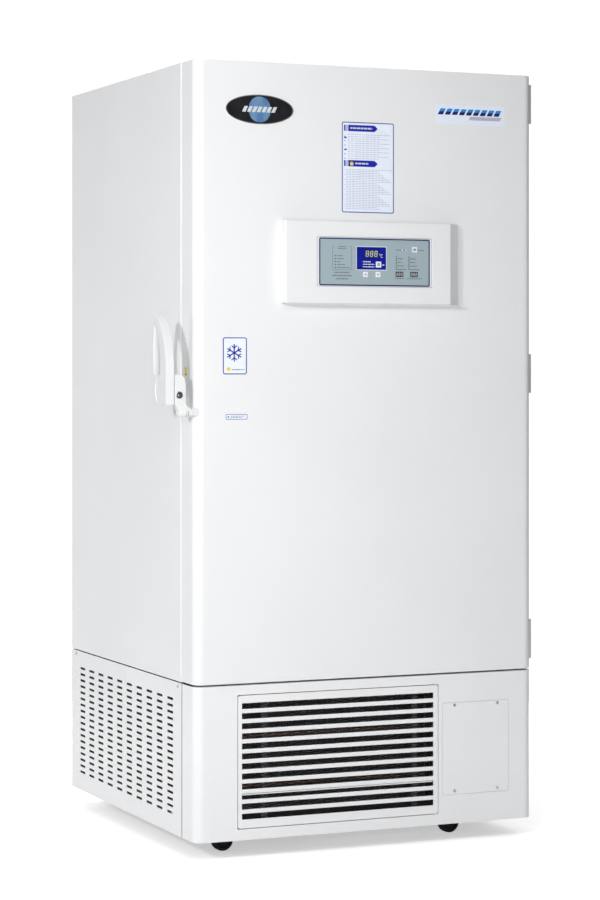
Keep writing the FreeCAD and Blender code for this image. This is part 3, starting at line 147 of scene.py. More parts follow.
# ---- materials -------------------------------------------------------------------------------------
class Finish:
    """A procedural material: a Principled surface whose colour, roughness and height are varied."""

    def __init__(self, name, metallic=0.0, specular=0.5):
        self.material = bpy.data.materials.new(name)
        self.material.use_nodes = True
        self.nodes = self.material.node_tree.nodes
        self.links = self.material.node_tree.links
        self.surface = self.nodes["Principled BSDF"]
        self.surface.inputs["Metallic"].default_value = metallic
        self.surface.inputs["Specular IOR Level"].default_value = specular
        self.place = self.nodes.new("ShaderNodeTexCoord").outputs["Object"]

    def stretched(self, stretch):
        if stretch == (1, 1, 1):
            return self.place
        mapping = self.nodes.new("ShaderNodeMapping")
        mapping.inputs["Scale"].default_value = stretch
        self.links.new(self.place, mapping.inputs["Vector"])
        return mapping.outputs["Vector"]

    def noise(self, scale, detail=2.0, stretch=(1, 1, 1), rough=0.5):
        """Cloudy pattern of about scale features to the metre."""
        node = self.nodes.new("ShaderNodeTexNoise")
        node.inputs["Scale"].default_value = scale
        node.inputs["Detail"].default_value = detail
        node.inputs["Roughness"].default_value = rough
        self.links.new(self.stretched(stretch), node.inputs["Vector"])
        return node.outputs["Fac"]

    def cells(self, scale, feature="F1"):
        node = self.nodes.new("ShaderNodeTexVoronoi")
        node.feature = feature
        node.inputs["Scale"].default_value = scale
        self.links.new(self.place, node.inputs["Vector"])
        return node.outputs["Distance"]

    def ramp(self, fac, stops):
        """Colours at positions along a pattern; a stop is (position, colour)."""
        node = self.nodes.new("ShaderNodeValToRGB")
        elements = node.color_ramp.elements
        while len(elements) < len(stops):
            elements.new(0.5)
        for element, (position, colour) in zip(elements, stops):
            element.position = position
            element.color = (*colour, 1)
        self.links.new(fac, node.inputs["Fac"])
        return node.outputs["Color"]

    def colour(self, source):
        self.links.new(source, self.surface.inputs["Base Color"])
        return self

    def roughness(self, fac, low, high):
        node = self.nodes.new("ShaderNodeMapRange")
        node.inputs["To Min"].default_value = low
        node.inputs["To Max"].default_value = high
        self.links.new(fac, node.inputs["Value"])
        self.links.new(node.outputs["Result"], self.surface.inputs["Roughness"])
        return self

    def bump(self, fac, depth):
        """Relief of the given depth in metres."""
        node = self.nodes.new("ShaderNodeBump")
        node.inputs["Distance"].default_value = depth
        self.links.new(fac, node.inputs["Height"])
        self.links.new(node.outputs["Normal"], self.surface.inputs["Normal"])
        return self


def shade(colour, factor):
    return tuple(min(1.0, c * factor) for c in colour)


def coated(name, colour, rough, grain, depth, spread=0.015):
    """Paint or moulded plastic: faint cloudiness in colour and gloss over a fine grain."""
    finish = Finish(name)
    cloud = finish.noise(2.5, 3.0)
    finish.colour(finish.ramp(cloud, [(0.3, shade(colour, 1 - spread)), (0.7, shade(colour, 1 + spread))]))
    finish.roughness(finish.noise(9.0, 4.0), rough - 0.05, rough + 0.06)
    return finish.bump(finish.noise(grain, 2.0), depth)


def worn_black(name, colour, rough):
    """Dark paint with dusty clouding and small pale scuffs."""
    finish = Finish(name, specular=0.4)
    scuffs = finish.noise(60.0, 8.0, rough=0.75)
    dust = shade(colour, 2.4)
    finish.colour(finish.ramp(scuffs, [(0.35, colour), (0.62, shade(colour, 1.35)), (0.78, dust)]))
    finish.roughness(finish.noise(25.0, 4.0), rough - 0.1, rough + 0.12)
    return finish.bump(finish.noise(500.0, 3.0), 0.00006)


def brushed(name, colour, rough, stretch, depth=0.00003):
    """Metal with fine lines drawn along the axis whose stretch is smallest."""
    finish = Finish(name, metallic=1.0)
    lines = finish.noise(700.0, 3.0, stretch)
    cloud = finish.noise(4.0, 3.0)
    finish.colour(finish.ramp(lines, [(0.3, shade(colour, 0.86)), (0.7, shade(colour, 1.08))]))
    finish.roughness(cloud, rough - 0.06, rough + 0.1)
    return finish.bump(lines, depth)


def spangled(name, colour):
    """Zinc-plated sheet with a faint crystal pattern."""
    finish = Finish(name, metallic=1.0)
    crystals = finish.cells(140.0)
    finish.colour(finish.ramp(crystals, [(0.1, shade(colour, 0.93)), (0.6, shade(colour, 1.03))]))
    finish.roughness(finish.cells(90.0), 0.4, 0.48)
    return finish.bump(finish.noise(300.0, 3.0), 0.00003)


def patterned(name, pattern, stops, gloss, grain, depth, metallic=0.0, specular=0.5):
    """Surface whose colour and gloss follow one noise; pattern is its scale, detail and stretch."""
    finish = Finish(name, metallic, specular)
    cloud = finish.noise(*pattern)
    finish.colour(finish.ramp(cloud, stops))
    return finish.roughness(cloud, *gloss).bump(finish.noise(grain), depth)


def foam():
    finish = Finish("rigid_foam", specular=0.2)
    cells = finish.cells(650.0)
    finish.colour(finish.ramp(cells, [(0.1, (0.42, 0.29, 0.12)), (0.6, (0.66, 0.52, 0.27))]))
    return finish.roughness(cells, 0.8, 0.95).bump(cells, 0.0005)


def circuit_board():
    finish = Finish("green_circuit_board")
    tracks = finish.cells(220.0, "DISTANCE_TO_EDGE")
    finish.colour(finish.ramp(tracks, [(0.03, (0.02, 0.12, 0.04)), (0.06, (0.01, 0.06, 0.02))]))
    return finish.roughness(tracks, 0.3, 0.42).bump(tracks, 0.00005)


def blue_window():
    finish = Finish("deep_blue_window", specular=0.3)
    depth = finish.noise(14.0)
    finish.colour(finish.ramp(depth, [(0.3, (0.004, 0.008, 0.235)), (0.7, (0.006, 0.013, 0.30))]))
    return finish.roughness(finish.noise(60.0), 0.16, 0.24).bump(finish.noise(600.0), 0.00001)


def pale_floor():
    """Nearly white floor that glows for the camera more towards its edge, and hardly for the object."""
    floor = Finish("pale_floor", specular=0.1)
    mottled = floor.noise(0.8)
    floor.colour(floor.ramp(mottled, [(0.3, (0.93, 0.93, 0.93)), (0.7, (0.95, 0.95, 0.95))]))
    floor.roughness(mottled, 0.85, 0.95)
    floor.surface.inputs["Emission Color"].default_value = (1, 1, 1, 1)
    away = floor.nodes.new("ShaderNodeVectorMath")
    away.operation = "LENGTH"
    floor.links.new(floor.place, away.inputs[0])
    glow = floor.nodes.new("ShaderNodeMapRange")
    glow.interpolation_type = "SMOOTHSTEP"
    glow.inputs["From Min"].default_value = 0.6
    glow.inputs["From Max"].default_value = FLOOR_R - 0.1
    glow.inputs["To Min"].default_value = 0.5
    glow.inputs["To Max"].default_value = 1.0
    floor.links.new(away.outputs["Value"], glow.inputs["Value"])
    shine = floor.nodes.new("ShaderNodeMapRange")
    shine.inputs["To Min"].default_value = 0.06
    floor.links.new(floor.nodes.new("ShaderNodeLightPath").outputs["Is Camera Ray"], shine.inputs["Value"])
    seen = floor.nodes.new("ShaderNodeMath")
    seen.operation = "MULTIPLY"
    floor.links.new(glow.outputs["Result"], seen.inputs[0])
    floor.links.new(shine.outputs["Result"], seen.inputs[1])
    floor.links.new(seen.outputs["Value"], floor.surface.inputs["Emission Strength"])
    return floor


COAT = (0.80, 0.805, 0.812)
INKS = {                 # colour, roughness and cloudiness
    "navy_print": ((0.005, 0.008, 0.115), 0.4, 0.08),
    "soft_navy_print": ((0.035, 0.05, 0.29), 0.42, 0.08),
    "royal_print": ((0.004, 0.012, 0.36), 0.4, 0.06),
    "azure_print": ((0.02, 0.25, 0.62), 0.38, 0.06),
    "faint_print": ((0.44, 0.47, 0.58), 0.45, 0.05),
    "grey_print": ((0.13, 0.16, 0.19), 0.45, 0.08),
    "pale_print": ((0.62, 0.66, 0.7), 0.4, 0.03),
    "black_print": ((0.012, 0.012, 0.013), 0.35, 0.1),
    "yellow_print": ((0.8, 0.62, 0.02), 0.4, 0.05),
}


def make_finishes():
    made = {}
    for name, (colour, rough, spread) in INKS.items():
        made[name] = coated(name, colour, rough, 1500.0, 0.00002, spread)
    made.update({
        "white_paint": coated("white_powder_coat", COAT, 0.42, 900.0, 0.00003),
        "cast_zinc": coated("white_enamelled_casting", (0.775, 0.78, 0.785), 0.33, 380.0, 0.00004, 0.02),
        "white_plastic": coated("white_moulded_plastic", (0.79, 0.8, 0.808), 0.4, 1200.0, 0.00005),
        "grey_plastic": coated("grey_printed_film", (0.335, 0.42, 0.455), 0.42, 1500.0, 0.00002, 0.01),
        "button_plastic": coated("pale_button_plastic", (0.8, 0.82, 0.86), 0.3, 1400.0, 0.00003),
        "black_plastic": coated("black_moulded_plastic", (0.02, 0.02, 0.022), 0.48, 700.0, 0.00008, 0.12),
        # grey band round the control recess: painted shade at the recess edge
        "recess_shade_grey": coated("grey_recess_shade", (0.42, 0.43, 0.45), 0.6, 600.0, 0.00004, 0.06),
        # dark grey for the filter's stiffening posts, and painted shade in the gaps of the pivot rings
        "post_paint_and_gap_shade": coated("grey_post_paint_and_gap_shade", (0.16, 0.16, 0.17), 0.5, 500.0, 0.00004, 0.08),
        "label_film": coated("label_film", (0.80, 0.85, 0.96), 0.28, 1300.0, 0.00002, 0.01),
        "black_steel": worn_black("black_painted_steel", (0.018, 0.018, 0.02), 0.45),
        "wheel_rubber": worn_black("black_wheel_rubber", (0.016, 0.016, 0.018), 0.62),
        "caster_plastic": worn_black("black_caster_nylon", (0.02, 0.021, 0.024), 0.4),
        "stainless": brushed("brushed_stainless", (0.6, 0.61, 0.62), 0.3, (1, 0.04, 1)),
        "aluminium_fins": brushed("rolled_aluminium", (0.7, 0.71, 0.73), 0.36, (1, 1, 0.05)),
        "chrome": brushed("polished_chrome", (0.78, 0.78, 0.8), 0.13, (1, 0.2, 1), 0.00001),
        "badge_metal": brushed("satin_badge_metal", (0.7, 0.72, 0.75), 0.22, (0.03, 1, 1), 0.00001),
        "zinc_steel": spangled("zinc_plated_steel", (0.58, 0.59, 0.61)),
        "copper": patterned("drawn_copper", (35.0, 5.0),
                            [(0.3, (0.42, 0.16, 0.075)), (0.6, (0.72, 0.34, 0.19))],
                            (0.26, 0.45), 250.0, 0.00004, metallic=1.0),
        "seal_rubber": patterned("grey_silicone_seal", (40.0, 5.0),
                                 [(0.3, (0.30, 0.31, 0.32)), (0.7, (0.40, 0.41, 0.42))],
                                 (0.55, 0.7), 800.0, 0.00005, specular=0.35),
        "filter_mesh": patterned("black_filter_net", (900.0,),
                                 [(0.3, (0.006, 0.006, 0.007)), (0.7, (0.02, 0.02, 0.022))],
                                 (0.45, 0.7), 900.0, 0.0002, specular=0.3),
        "blue_foil": patterned("blue_badge_foil", (22.0, 1.0, (1, 1, 0.3)),
                               [(0.3, (0.02, 0.1, 0.42)), (0.5, (0.05, 0.25, 0.62)), (0.7, (0.3, 0.5, 0.75))],
                               (0.2, 0.32), 900.0, 0.00001, metallic=0.6),
        "black_enamel": patterned("black_badge_enamel", (30.0,),
                                  [(0.3, (0.004, 0.004, 0.006)), (0.7, (0.012, 0.012, 0.016))],
                                  (0.12, 0.2), 900.0, 0.00001, specular=0.6),
        "lamp": patterned("unlit_lamp_lens", (500.0,), [(0.3, (0.08, 0.1, 0.12)), (0.7, (0.16, 0.19, 0.22))],
                          (0.15, 0.3), 500.0, 0.00002, specular=0.6),
        "foam": foam(),
        "green_board": circuit_board(),
        "blue_window": blue_window(),
        "floor": pale_floor(),
    })
    return {key: finish.material for key, finish in made.items()}


FINISH = make_finishes()


# ---- mesh helpers ----------------------------------------------------------------------------------
def add_piece(name, bm, body, materials, replaced=()):
    """Turns a bmesh into an object of the model that rides on a body."""
    bmesh.ops.recalc_face_normals(bm, faces=bm.faces)
    mesh = bpy.data.meshes.new(name)
    bm.to_mesh(mesh)
    bm.free()
    for key in materials:
        mesh.materials.append(FINISH[key])
    piece = bpy.data.objects.new(name, mesh)
    bpy.context.scene.collection.objects.link(piece)
    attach(piece, body)
    if replaced:
        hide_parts(*replaced)
    return piece


def smooth(piece, angle):
    piece.data.shade_smooth()
    piece.data.set_sharp_from_angle(angle=math.radians(angle))


SHARP = math.radians(35)


def soften(piece, width, segments):
    """Rounds every sharp edge of a piece by a small radius and keeps its flat faces flat."""
    bm = bmesh.new()
    bm.from_mesh(piece.data)
    sharp = [edge for edge in bm.edges if len(edge.link_faces) == 2 and edge.calc_face_angle(0) > SHARP]
    bmesh.ops.bevel(bm, geom=sharp, offset=width, offset_type="OFFSET", segments=segments, profile=0.5,
                    affect="EDGES", clamp_overlap=True)
    bm.to_mesh(piece.data)
    bm.free()
    smooth(piece, 50.0)
    flats = piece.modifiers.new("flat_faces_stay_flat", "WEIGHTED_NORMAL")
    flats.mode = "FACE_AREA"
    flats.weight = 100
    flats.keep_sharp = True


def refined(node, finish, edge, segments):
    """A copy of a CAD node with its edges rounded, standing in for the node."""
    bm = bmesh.new()
    bm.from_mesh(frame["nodes"][node].data)
    bmesh.ops.remove_doubles(bm, verts=bm.verts, dist=1e-6)
    bmesh.ops.dissolve_limit(bm, angle_limit=math.radians(0.5), verts=bm.verts, edges=bm.edges)
    piece = add_piece(node + "_finished", bm, BODY_OF[node], [finish], [node])
    for face in piece.data.polygons:
        face.material_index = 0
    soften(piece, edge, segments)
    return piece


def rectangle(x0, x1, z0, z1, radius=0.0, steps=5):
    """Outline in x, z, anticlockwise, with rounded corners."""
    if radius <= 0:
        return [(x0, z0), (x1, z0), (x1, z1), (x0, z1)]
    points = []
    centres = ((x1 - radius, z0 + radius, -90), (x1 - radius, z1 - radius, 0),
               (x0 + radius, z1 - radius, 90), (x0 + radius, z0 + radius, 180))
    for cx, cz, start in centres:
        for step in range(steps + 1):
            turn = math.radians(start + 90 * step / steps)
            points.append((cx + radius * math.cos(turn), cz + radius * math.sin(turn)))
    return points


def ellipse(cx, cz, rx, rz, steps=32):
    return [(cx + rx * math.cos(t), cz + rz * math.sin(t)) for t in turns(steps)]


def slab(bm, outline, back, front, material=0, axis="y"):
    """Flat plate across the y or x axis, with its outline in the two other axes."""
    def at(a, b, depth):
        return (depth, a, b) if axis == "x" else (a, depth, b)

    near = [bm.verts.new(at(a, b, front)) for a, b in outline]
    far = [bm.verts.new(at(a, b, back)) for a, b in outline]
    faces = [bm.faces.new(near), bm.faces.new(far[::-1])]
    for i in range(len(outline)):
        j = (i + 1) % len(outline)
        faces.append(bm.faces.new((near[i], far[i], far[j], near[j])))
    for face in faces:
        face.material_index = material


def skin(bm, rings, material=0, closed=False):
    """Surface over a row of rings: closed joins the last to the first, and otherwise both ends are capped."""
    pairs = list(zip(rings, rings[1:]))
    if closed:
        pairs.append((rings[-1], rings[0]))
    for first, second in pairs:
        for i in range(len(first)):
            j = (i + 1) % len(first)
            bm.faces.new((first[i], first[j], second[j], second[i])).material_index = material
    if not closed:
        for ring in (rings[0][::-1], rings[-1]):
            bm.faces.new(ring).material_index = material


def band(bm, outer, inner, back, front, material=0):
    """Closed frame between two outlines with the same number of points, facing the front."""
    rings = [[bm.verts.new((x, y, z)) for x, z in outline]
             for outline, y in ((outer, back), (outer, front), (inner, front), (inner, back))]
    skin(bm, rings, material, closed=True)


def dome(bm, outline, base, rises, material=0):
    """Cushioned badge face: the outline drawn in towards its middle in steps of height."""
    cx = sum(x for x, _ in outline) / len(outline)
    cz = sum(z for _, z in outline) / len(outline)
    rings = [[bm.verts.new((cx + (x - cx) * scale, base - rise, cz + (z - cz) * scale)) for x, z in outline]
             for scale, rise in rises]
    skin(bm, rings, material)


def ring(bm, centre, side, other, radius, steps):
    """Points of a circle about centre in the plane of two unit vectors."""
    return [bm.verts.new(centre + (side * math.cos(t) + other * math.sin(t)) * radius) for t in turns(steps)]


def tube(bm, path, radius, sides=8, closed=False, material=0):
    """Round wire along a list of points."""
    points = [Vector(p) for p in path]
    count = len(points)
    rings = []
    side = None
    for i, here in enumerate(points):
        if closed:
            ahead = points[(i + 1) % count] - points[i - 1]
        else:
            ahead = points[min(i + 1, count - 1)] - points[max(i - 1, 0)]
        ahead.normalize()
        if side is None:
            side = ahead.orthogonal().normalized()
        side = (side - ahead * side.dot(ahead)).normalized()
        rings.append(ring(bm, here, side, ahead.cross(side), radius, sides))
    skin(bm, rings, material, closed)


def turned(bm, axis_start, direction, profile, sides=32, material=0):
    """Solid of revolution: profile is (distance along the axis, radius), closed at both ends."""
    along = Vector(direction).normalized()
    side = along.orthogonal().normalized()
    other = along.cross(side)
    origin = Vector(axis_start)
    rings = [ring(bm, origin + along * distance, side, other, radius, sides) for distance, radius in profile]
    skin(bm, rings, material)


# ---- finishes of the CAD nodes ---------------------------------------------------------------------
PLAIN = {                # nodes that keep their own mesh
    "white_paint": ("base_vent_panels", "base_rear_cover", "cabinet_deck"),
    "zinc_steel": ("cabinet_rear_panel",),
    "foam": ("cabinet_foam", "door_foam"),
    "stainless": ("inner_liner",),
    "white_plastic": ("breaker_frame", "door_inner_panel"),
    "grey_plastic": ("control_membrane",),
    "blue_window": ("display_window",),
    "green_board": ("control_board",),
    "copper": ("refrigerant_pipes",),
}
ROUNDED = (              # finish, rounding of the edges in millimetres, steps of the rounding, nodes
    ("white_paint", 0.35, 2, "door_skin", "base_front_cover", "cabinet_shell"),
    ("white_paint", 0.4, 2, "service_cover", "grille_door"),
    ("stainless", 0.4, 2, "shelves", "shelf_supports"),
    ("white_plastic", 1.0, 2, "inner_door_upper", "inner_door_lower"),
    ("zinc_steel", 0.25, 2, "inner_door_pivots", "front_caster_plates", "panel_screws"),
    ("zinc_steel", 1.0, 2, "electrical_box"),
    ("black_steel", 0.4, 2, "base_frame", "fan_shroud"),
    ("black_plastic", 0.6, 2, "rear_spacers", "power_inlet", "backup_battery"),
    ("seal_rubber", 0.8, 2, "access_port_plug"),
    ("cast_zinc", 0.8, 3, "hinge_door_leaves", "hinge_cabinet_leaves", "latch_keeper", "handle_pivot"),
    ("cast_zinc", 1.8, 4, "handle_grip"),
    ("cast_zinc", 1.2, 3, "lock_housing"),
    ("zinc_steel", 0.8, 2, "latch_hook"),
    ("chrome", 0.5, 2, "hinge_pins"),
    ("white_plastic", 0.6, 2, "control_housing"),
    ("button_plastic", 0.25, 2, "button_set", "button_up", "button_down", "button_mute"),
    ("caster_plastic", 0.8, 3, "caster_fork_left", "caster_fork_right", "rear_caster_forks"),
    ("wheel_rubber", 0.8, 3, "caster_wheel_front_left", "caster_wheel_rear_left",
     "caster_wheel_front_right", "caster_wheel_rear_right"),
    ("black_steel", 0.8, 2, "compressor_first_stage", "compressor_second_stage", "fan_motor"),
    ("aluminium_fins", 0.4, 2, "fan_blade"),
)


def finish_nodes():
    for finish, nodes in PLAIN.items():
        for node in nodes:
            for slot in frame["nodes"][node].material_slots:
                slot.material = FINISH[finish]
    for finish, edge, segments, *nodes in ROUNDED:
        for node in nodes:
            piece = refined(node, finish, edge * MM, segments)
            if node == "cabinet_shell":      # all flat sheet, so plain flat shading is right
                piece.modifiers.clear()
                piece.data.shade_flat()


# ---- control panel print ---------------------------------------------------------------------------
PRINT = 0.12 * MM        # how far a print stands off the surface below it
SEGMENTS = (             # the seven bars of a digit: centre across, centre up, upright or not
    (0, 1, False), (0, 0, False), (0, -1, False),
    (-1, 0.5, True), (1, 0.5, True), (-1, -0.5, True), (1, -0.5, True),
)
DIGIT_LEAN = 0.1
BAR_GAP = 0.62           # share of the stroke that a bar stays short at each end


def digit(bm, x, z, width, height, stroke, back, front):
    """Unlit seven-segment digit centred on x, z."""
    half_w = width / 2 - stroke / 2
    half_h = height / 2 - stroke / 2
    half = stroke / 2
    for across, up, upright in SEGMENTS:
        length = half_h / 2 if upright else half_w
        reach = length - stroke * BAR_GAP
        corners = [(-reach, -half), (reach, -half), (reach + half, 0), (reach, half), (-reach, half),
                   (-reach - half, 0)]
        if upright:
            corners = [(-b, a) for a, b in corners]
        shifted = [(across * half_w + a, up * half_h + b) for a, b in corners]
        slab(bm, [(x + a + b * DIGIT_LEAN, z + b) for a, b in shifted], back, front)


class Panel:
    """Places marks on a flat front in millimetres from its top left corner."""

    def __init__(self, low, high, level=1):
        self.left = low.x
        self.top = high.z
        self.back = low.y + 0.05 * MM
        self.front = low.y - PRINT * level

    def at(self, x, z):
        return self.left + x * MM, self.top - z * MM

    def bar(self, bm, x0, x1, z, height, material=0, radius=0.0):
        left, middle = self.at(x0, z)
        right = self.at(x1, z)[0]
        half = height * MM / 2
        outline = rectangle(left, right, middle - half, middle + half, radius * MM)
        slab(bm, outline, self.back, self.front, material)

    def dot(self, bm, x, z, radius, material=0, steps=16):
        cx, cz = self.at(x, z)
        slab(bm, ellipse(cx, cz, radius * MM, radius * MM, steps), self.back, self.front, material)

    def line(self, bm, points, width, material=0):
        """Straight strokes through the points, with mitred square ends."""
        for (xa, za), (xb, zb) in zip(points, points[1:]):
            ax, az = self.at(xa, za)
            bx, bz = self.at(xb, zb)
            along = Vector((bx - ax, bz - az)).normalized() * (width * MM / 2)
            side = Vector((-along.y, along.x))
            start = Vector((ax, az)) - along
            end = Vector((bx, bz)) + along
            corners = [start - side, end - side, end + side, start + side]
            slab(bm, [tuple(corner) for corner in corners], self.back, self.front, material)

    def frame(self, bm, x0, x1, z0, z1, width, radius, material=0):
        left, top = self.at(x0, z0)
        right, bottom = self.at(x1, z1)
        w = width * MM
        r = radius * MM
        outer = rectangle(left, right, bottom, top, r)
        inner = rectangle(left + w, right - w, bottom + w, top - w, max(r - w, r * 0.3))
        band(bm, outer, inner, self.back, self.front, material)


def words(bm, panel, x0, x1, z, height, material, word, gap=1.2):
    """A line of plain dashes that stands for a printed caption."""
    x = x0
    step = 0
    while x < x1 - 1:
        length = word * (0.7 + 0.45 * ((step * 7) % 3) / 2)
        panel.bar(bm, x, min(x + length, x1), z, height, material)
        x += length + gap
        step += 1


def membrane_print():
    low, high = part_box("control_membrane")
    width = (high.x - low.x) / MM
    height = (high.z - low.z) / MM
    panel = Panel(low, high)
    bm = bmesh.new()
    panel.frame(bm, 0.1, width - 0.1, 0.1, height - 0.1, 3.2, 4.0, 0)
    for x0, x1 in ((36.8, 44.0), (81.5, 88.6)):
        panel.bar(bm, x0 + 1, x1, 21.6, 0.8, 1)
    for x in (36.8, 88.6):
        panel.bar(bm, x - 0.4, x + 0.4, 51, 57, 1)
    panel.bar(bm, 36.8, 88.6, 80, 0.8, 1)
    words(bm, panel, 53, 73, 22, 1.8, 1, 8)
    words(bm, panel, 52, 74, 26.8, 1.8, 1, 9)
    for row, end in enumerate((65, 67, 58, 70, 83)):
        z = 45 + 7.4 * row
        panel.dot(bm, 44.3, z, 1.5, 2)
        words(bm, panel, 49, end, z, 2.0, 1, 7)
    for row, (x0, x1) in enumerate(((42, 83), (36, 89), (46, 79))):
        words(bm, panel, x0, x1, 86.8 + 7.9 * row, 3.0, 1, 3.2, 1.0)
    words(bm, panel, 211.8, 226.8, 28, 2.0, 1, 6)
    words(bm, panel, 276, 291.8, 28, 2.0, 1, 6)
    panel.bar(bm, 229.5, 233.2, 28, 3.4, 3)
    panel.bar(bm, 238.2, 241.5, 28, 3.4, 3)
    columns = ((213.6, (231, 227, 235.7, 241)), (249.0, (269.6, 266.7, 272.4, 280.3)))
    for x, ends in columns:
        for row, end in enumerate(ends):
            panel.dot(bm, x, 45.0 + 9.1 * row, 1.4, 2)
            words(bm, panel, x - 1.6, end, 49.7 + 9.1 * row, 2.2, 1, 6)
    for x0, x1 in ((211.8, 233.2), (252.9, 274.3)):
        panel.bar(bm, x0, x1, 89.3, 13.4, 4, 0.8)
    words(bm, panel, 209.6, 236.4, 100, 1.9, 1, 6)
    words(bm, panel, 242.9, 285.7, 100, 1.9, 1, 6)
    add_piece("membrane_print", bm, "door",
              ["navy_print", "grey_print", "black_print", "pale_print", "black_print"])

    raised = Panel(low, high, 2)
    bm = bmesh.new()
    for x0 in (211.8, 252.9):
        for place in range(3):
            x, z = raised.at(x0 + 4.4 + 6.3 * place, 89.3)
            digit(bm, x, z, 4.2 * MM, 8.6 * MM, 0.9 * MM, raised.back, raised.front)
    add_piece("small_display_digits", bm, "door", ["pale_print"])


def recess_shade_line():
    """Thin grey line round the floor of the housing's recess: painted shade where the recess edge falls into
    shadow.
    """
    low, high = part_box("control_membrane")
    reach = 6.0 * MM
    rise = 2.6 * MM
    outline = [rectangle(low.x - reach + d, high.x + reach - d, low.z - rise + d, high.z + rise - d, 3 * MM)
               for d in (0, 1.4 * MM)]
    bm = bmesh.new()
    # the grey band is painted shade along the recess edge
    band(bm, outline[0], outline[1], high.y + 0.1 * MM, high.y - 0.4 * MM)
    add_piece("recess_shade_line", bm, "door", ["recess_shade_grey"])


def window_print():
    low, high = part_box("display_window")
    width = (high.x - low.x) / MM
    height = (high.z - low.z) / MM
    panel = Panel(low, high)
    bm = bmesh.new()
    panel.frame(bm, -2.2, width + 2.2, -2.2, height + 2.2, 2.1, 2.0, 0)
    panel.bar(bm, 22.5, 60.0, 17.0, 19.0, 1, 0.8)
    for row, end in enumerate((38.6, 49.0, 49.0)):
        z = 37.2 + 6.4 * row
        panel.dot(bm, 13.6, z, 1.6, 1)
        words(bm, panel, 17.4, end, z, 2.4, 0, 7)
    panel.bar(bm, 70.8, 76.5, 44.8, 2.4, 0)
    unit_x, unit_z = panel.at(63.8, 18.6)
    degree = [ellipse(unit_x, unit_z, radius * MM, radius * MM, 20) for radius in (1.7, 0.9)]
    band(bm, degree[0], degree[1], panel.back, panel.front)
    cup_x, cup_z = panel.at(69.6, 22.2)
    arc = [math.radians(45 + 270 * step / 18) for step in range(19)]
    outer = [(cup_x + 3.6 * MM * math.cos(t), cup_z + 4.4 * MM * math.sin(t)) for t in arc]
    inner = [(cup_x + 2.3 * MM * math.cos(t), cup_z + 3.1 * MM * math.sin(t)) for t in arc]
    for i in range(len(arc) - 1):
        slab(bm, [outer[i], outer[i + 1], inner[i + 1], inner[i]], panel.back, panel.front, 0)
    add_piece("window_print", bm, "door", ["pale_print", "black_print"])

    raised = Panel(low, high, 2)
    bm = bmesh.new()
    for place in range(3):
        x, z = raised.at(29.3 + 12.0 * place, 17.0)
        digit(bm, x, z, 8.4 * MM, 15.0 * MM, 1.7 * MM, raised.back, raised.front)
    add_piece("main_display_digits", bm, "door", ["pale_print"])


def lamp_dome():
    low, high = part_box("control_membrane")
    panel = Panel(low, high)
    x, z = panel.at(235.7, 28)
    bm = bmesh.new()
    turned(bm, (x, low.y + 0.1 * MM, z), (0, -1, 0), [
        (0, 1.9 * MM), (0.3 * MM, 1.9 * MM), (0.7 * MM, 1.6 * MM), (1.0 * MM, 1.0 * MM),
        (1.15 * MM, 0.4 * MM)], 20)
    smooth(add_piece("alarm_lamp", bm, "door", ["lamp"]), 60)


def button_icons():
    marks = {
        "button_up": [[(-3.0, 1.4), (0, -1.6), (3.0, 1.4)]],
        "button_down": [[(-3.0, -1.4), (0, 1.6), (3.0, -1.4)]],
        "button_set": [[(-2.4, -2.4), (2.4, -2.4), (2.4, 2.4), (-2.4, 2.4), (-2.4, -2.4)],
                       [(-2.4, 0), (2.4, 0)]],
        "button_mute": [[(-3.4, -1.0), (-1.6, -1.0), (0.6, -3.0), (0.6, 3.0), (-1.6, 1.0), (-3.4, 1.0),
                         (-3.4, -1.0)],
                        [(2.6, -2.0), (3.4, 0), (2.6, 2.0)]],
    }
    for node, strokes in marks.items():
        low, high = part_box(node)
        middle = Vector(((low.x + high.x) / 2, low.y, (low.z + high.z) / 2))
        panel = Panel(middle, middle)
        bm = bmesh.new()
        for stroke in strokes:
            panel.line(bm, stroke, 1.3)
        add_piece(node + "_icon", bm, BODY_OF[node], ["soft_navy_print"])


# ---- badges and labels on the door -----------------------------------------------------------------
def door_panel(x, top_z, level=0):
    """A panel whose corner lies on the door's front face."""
    low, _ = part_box("door_skin")
    corner = Vector((x, low.y - level * PRINT, top_z))
    return Panel(corner, corner)


def label(name, x0, x1, z0, z1, radius, border):
    """Printed film on the door with a coloured border line; returns a panel for further marks on it."""
    base = door_panel(x0, z1)
    width = (x1 - x0) / MM
    height = (z1 - z0) / MM
    bm = bmesh.new()
    film = [(x0 + a, z0 + b) for a, b in rectangle(0, x1 - x0, 0, z1 - z0, radius * MM)]
    slab(bm, film, base.back, base.front, 0)
    over = door_panel(x0, z1, 1)
    over.frame(bm, 0.6, width - 0.6, 0.6, height - 0.6, border, radius, 1)
    add_piece(name, bm, "door", ["label_film", "soft_navy_print"])
    return over


def door_point(across, up):
    """Model x, z of a point given in millimetres from the door's left edge and the floor."""
    low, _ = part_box("door_skin")
    return low.x + across * MM, up * MM


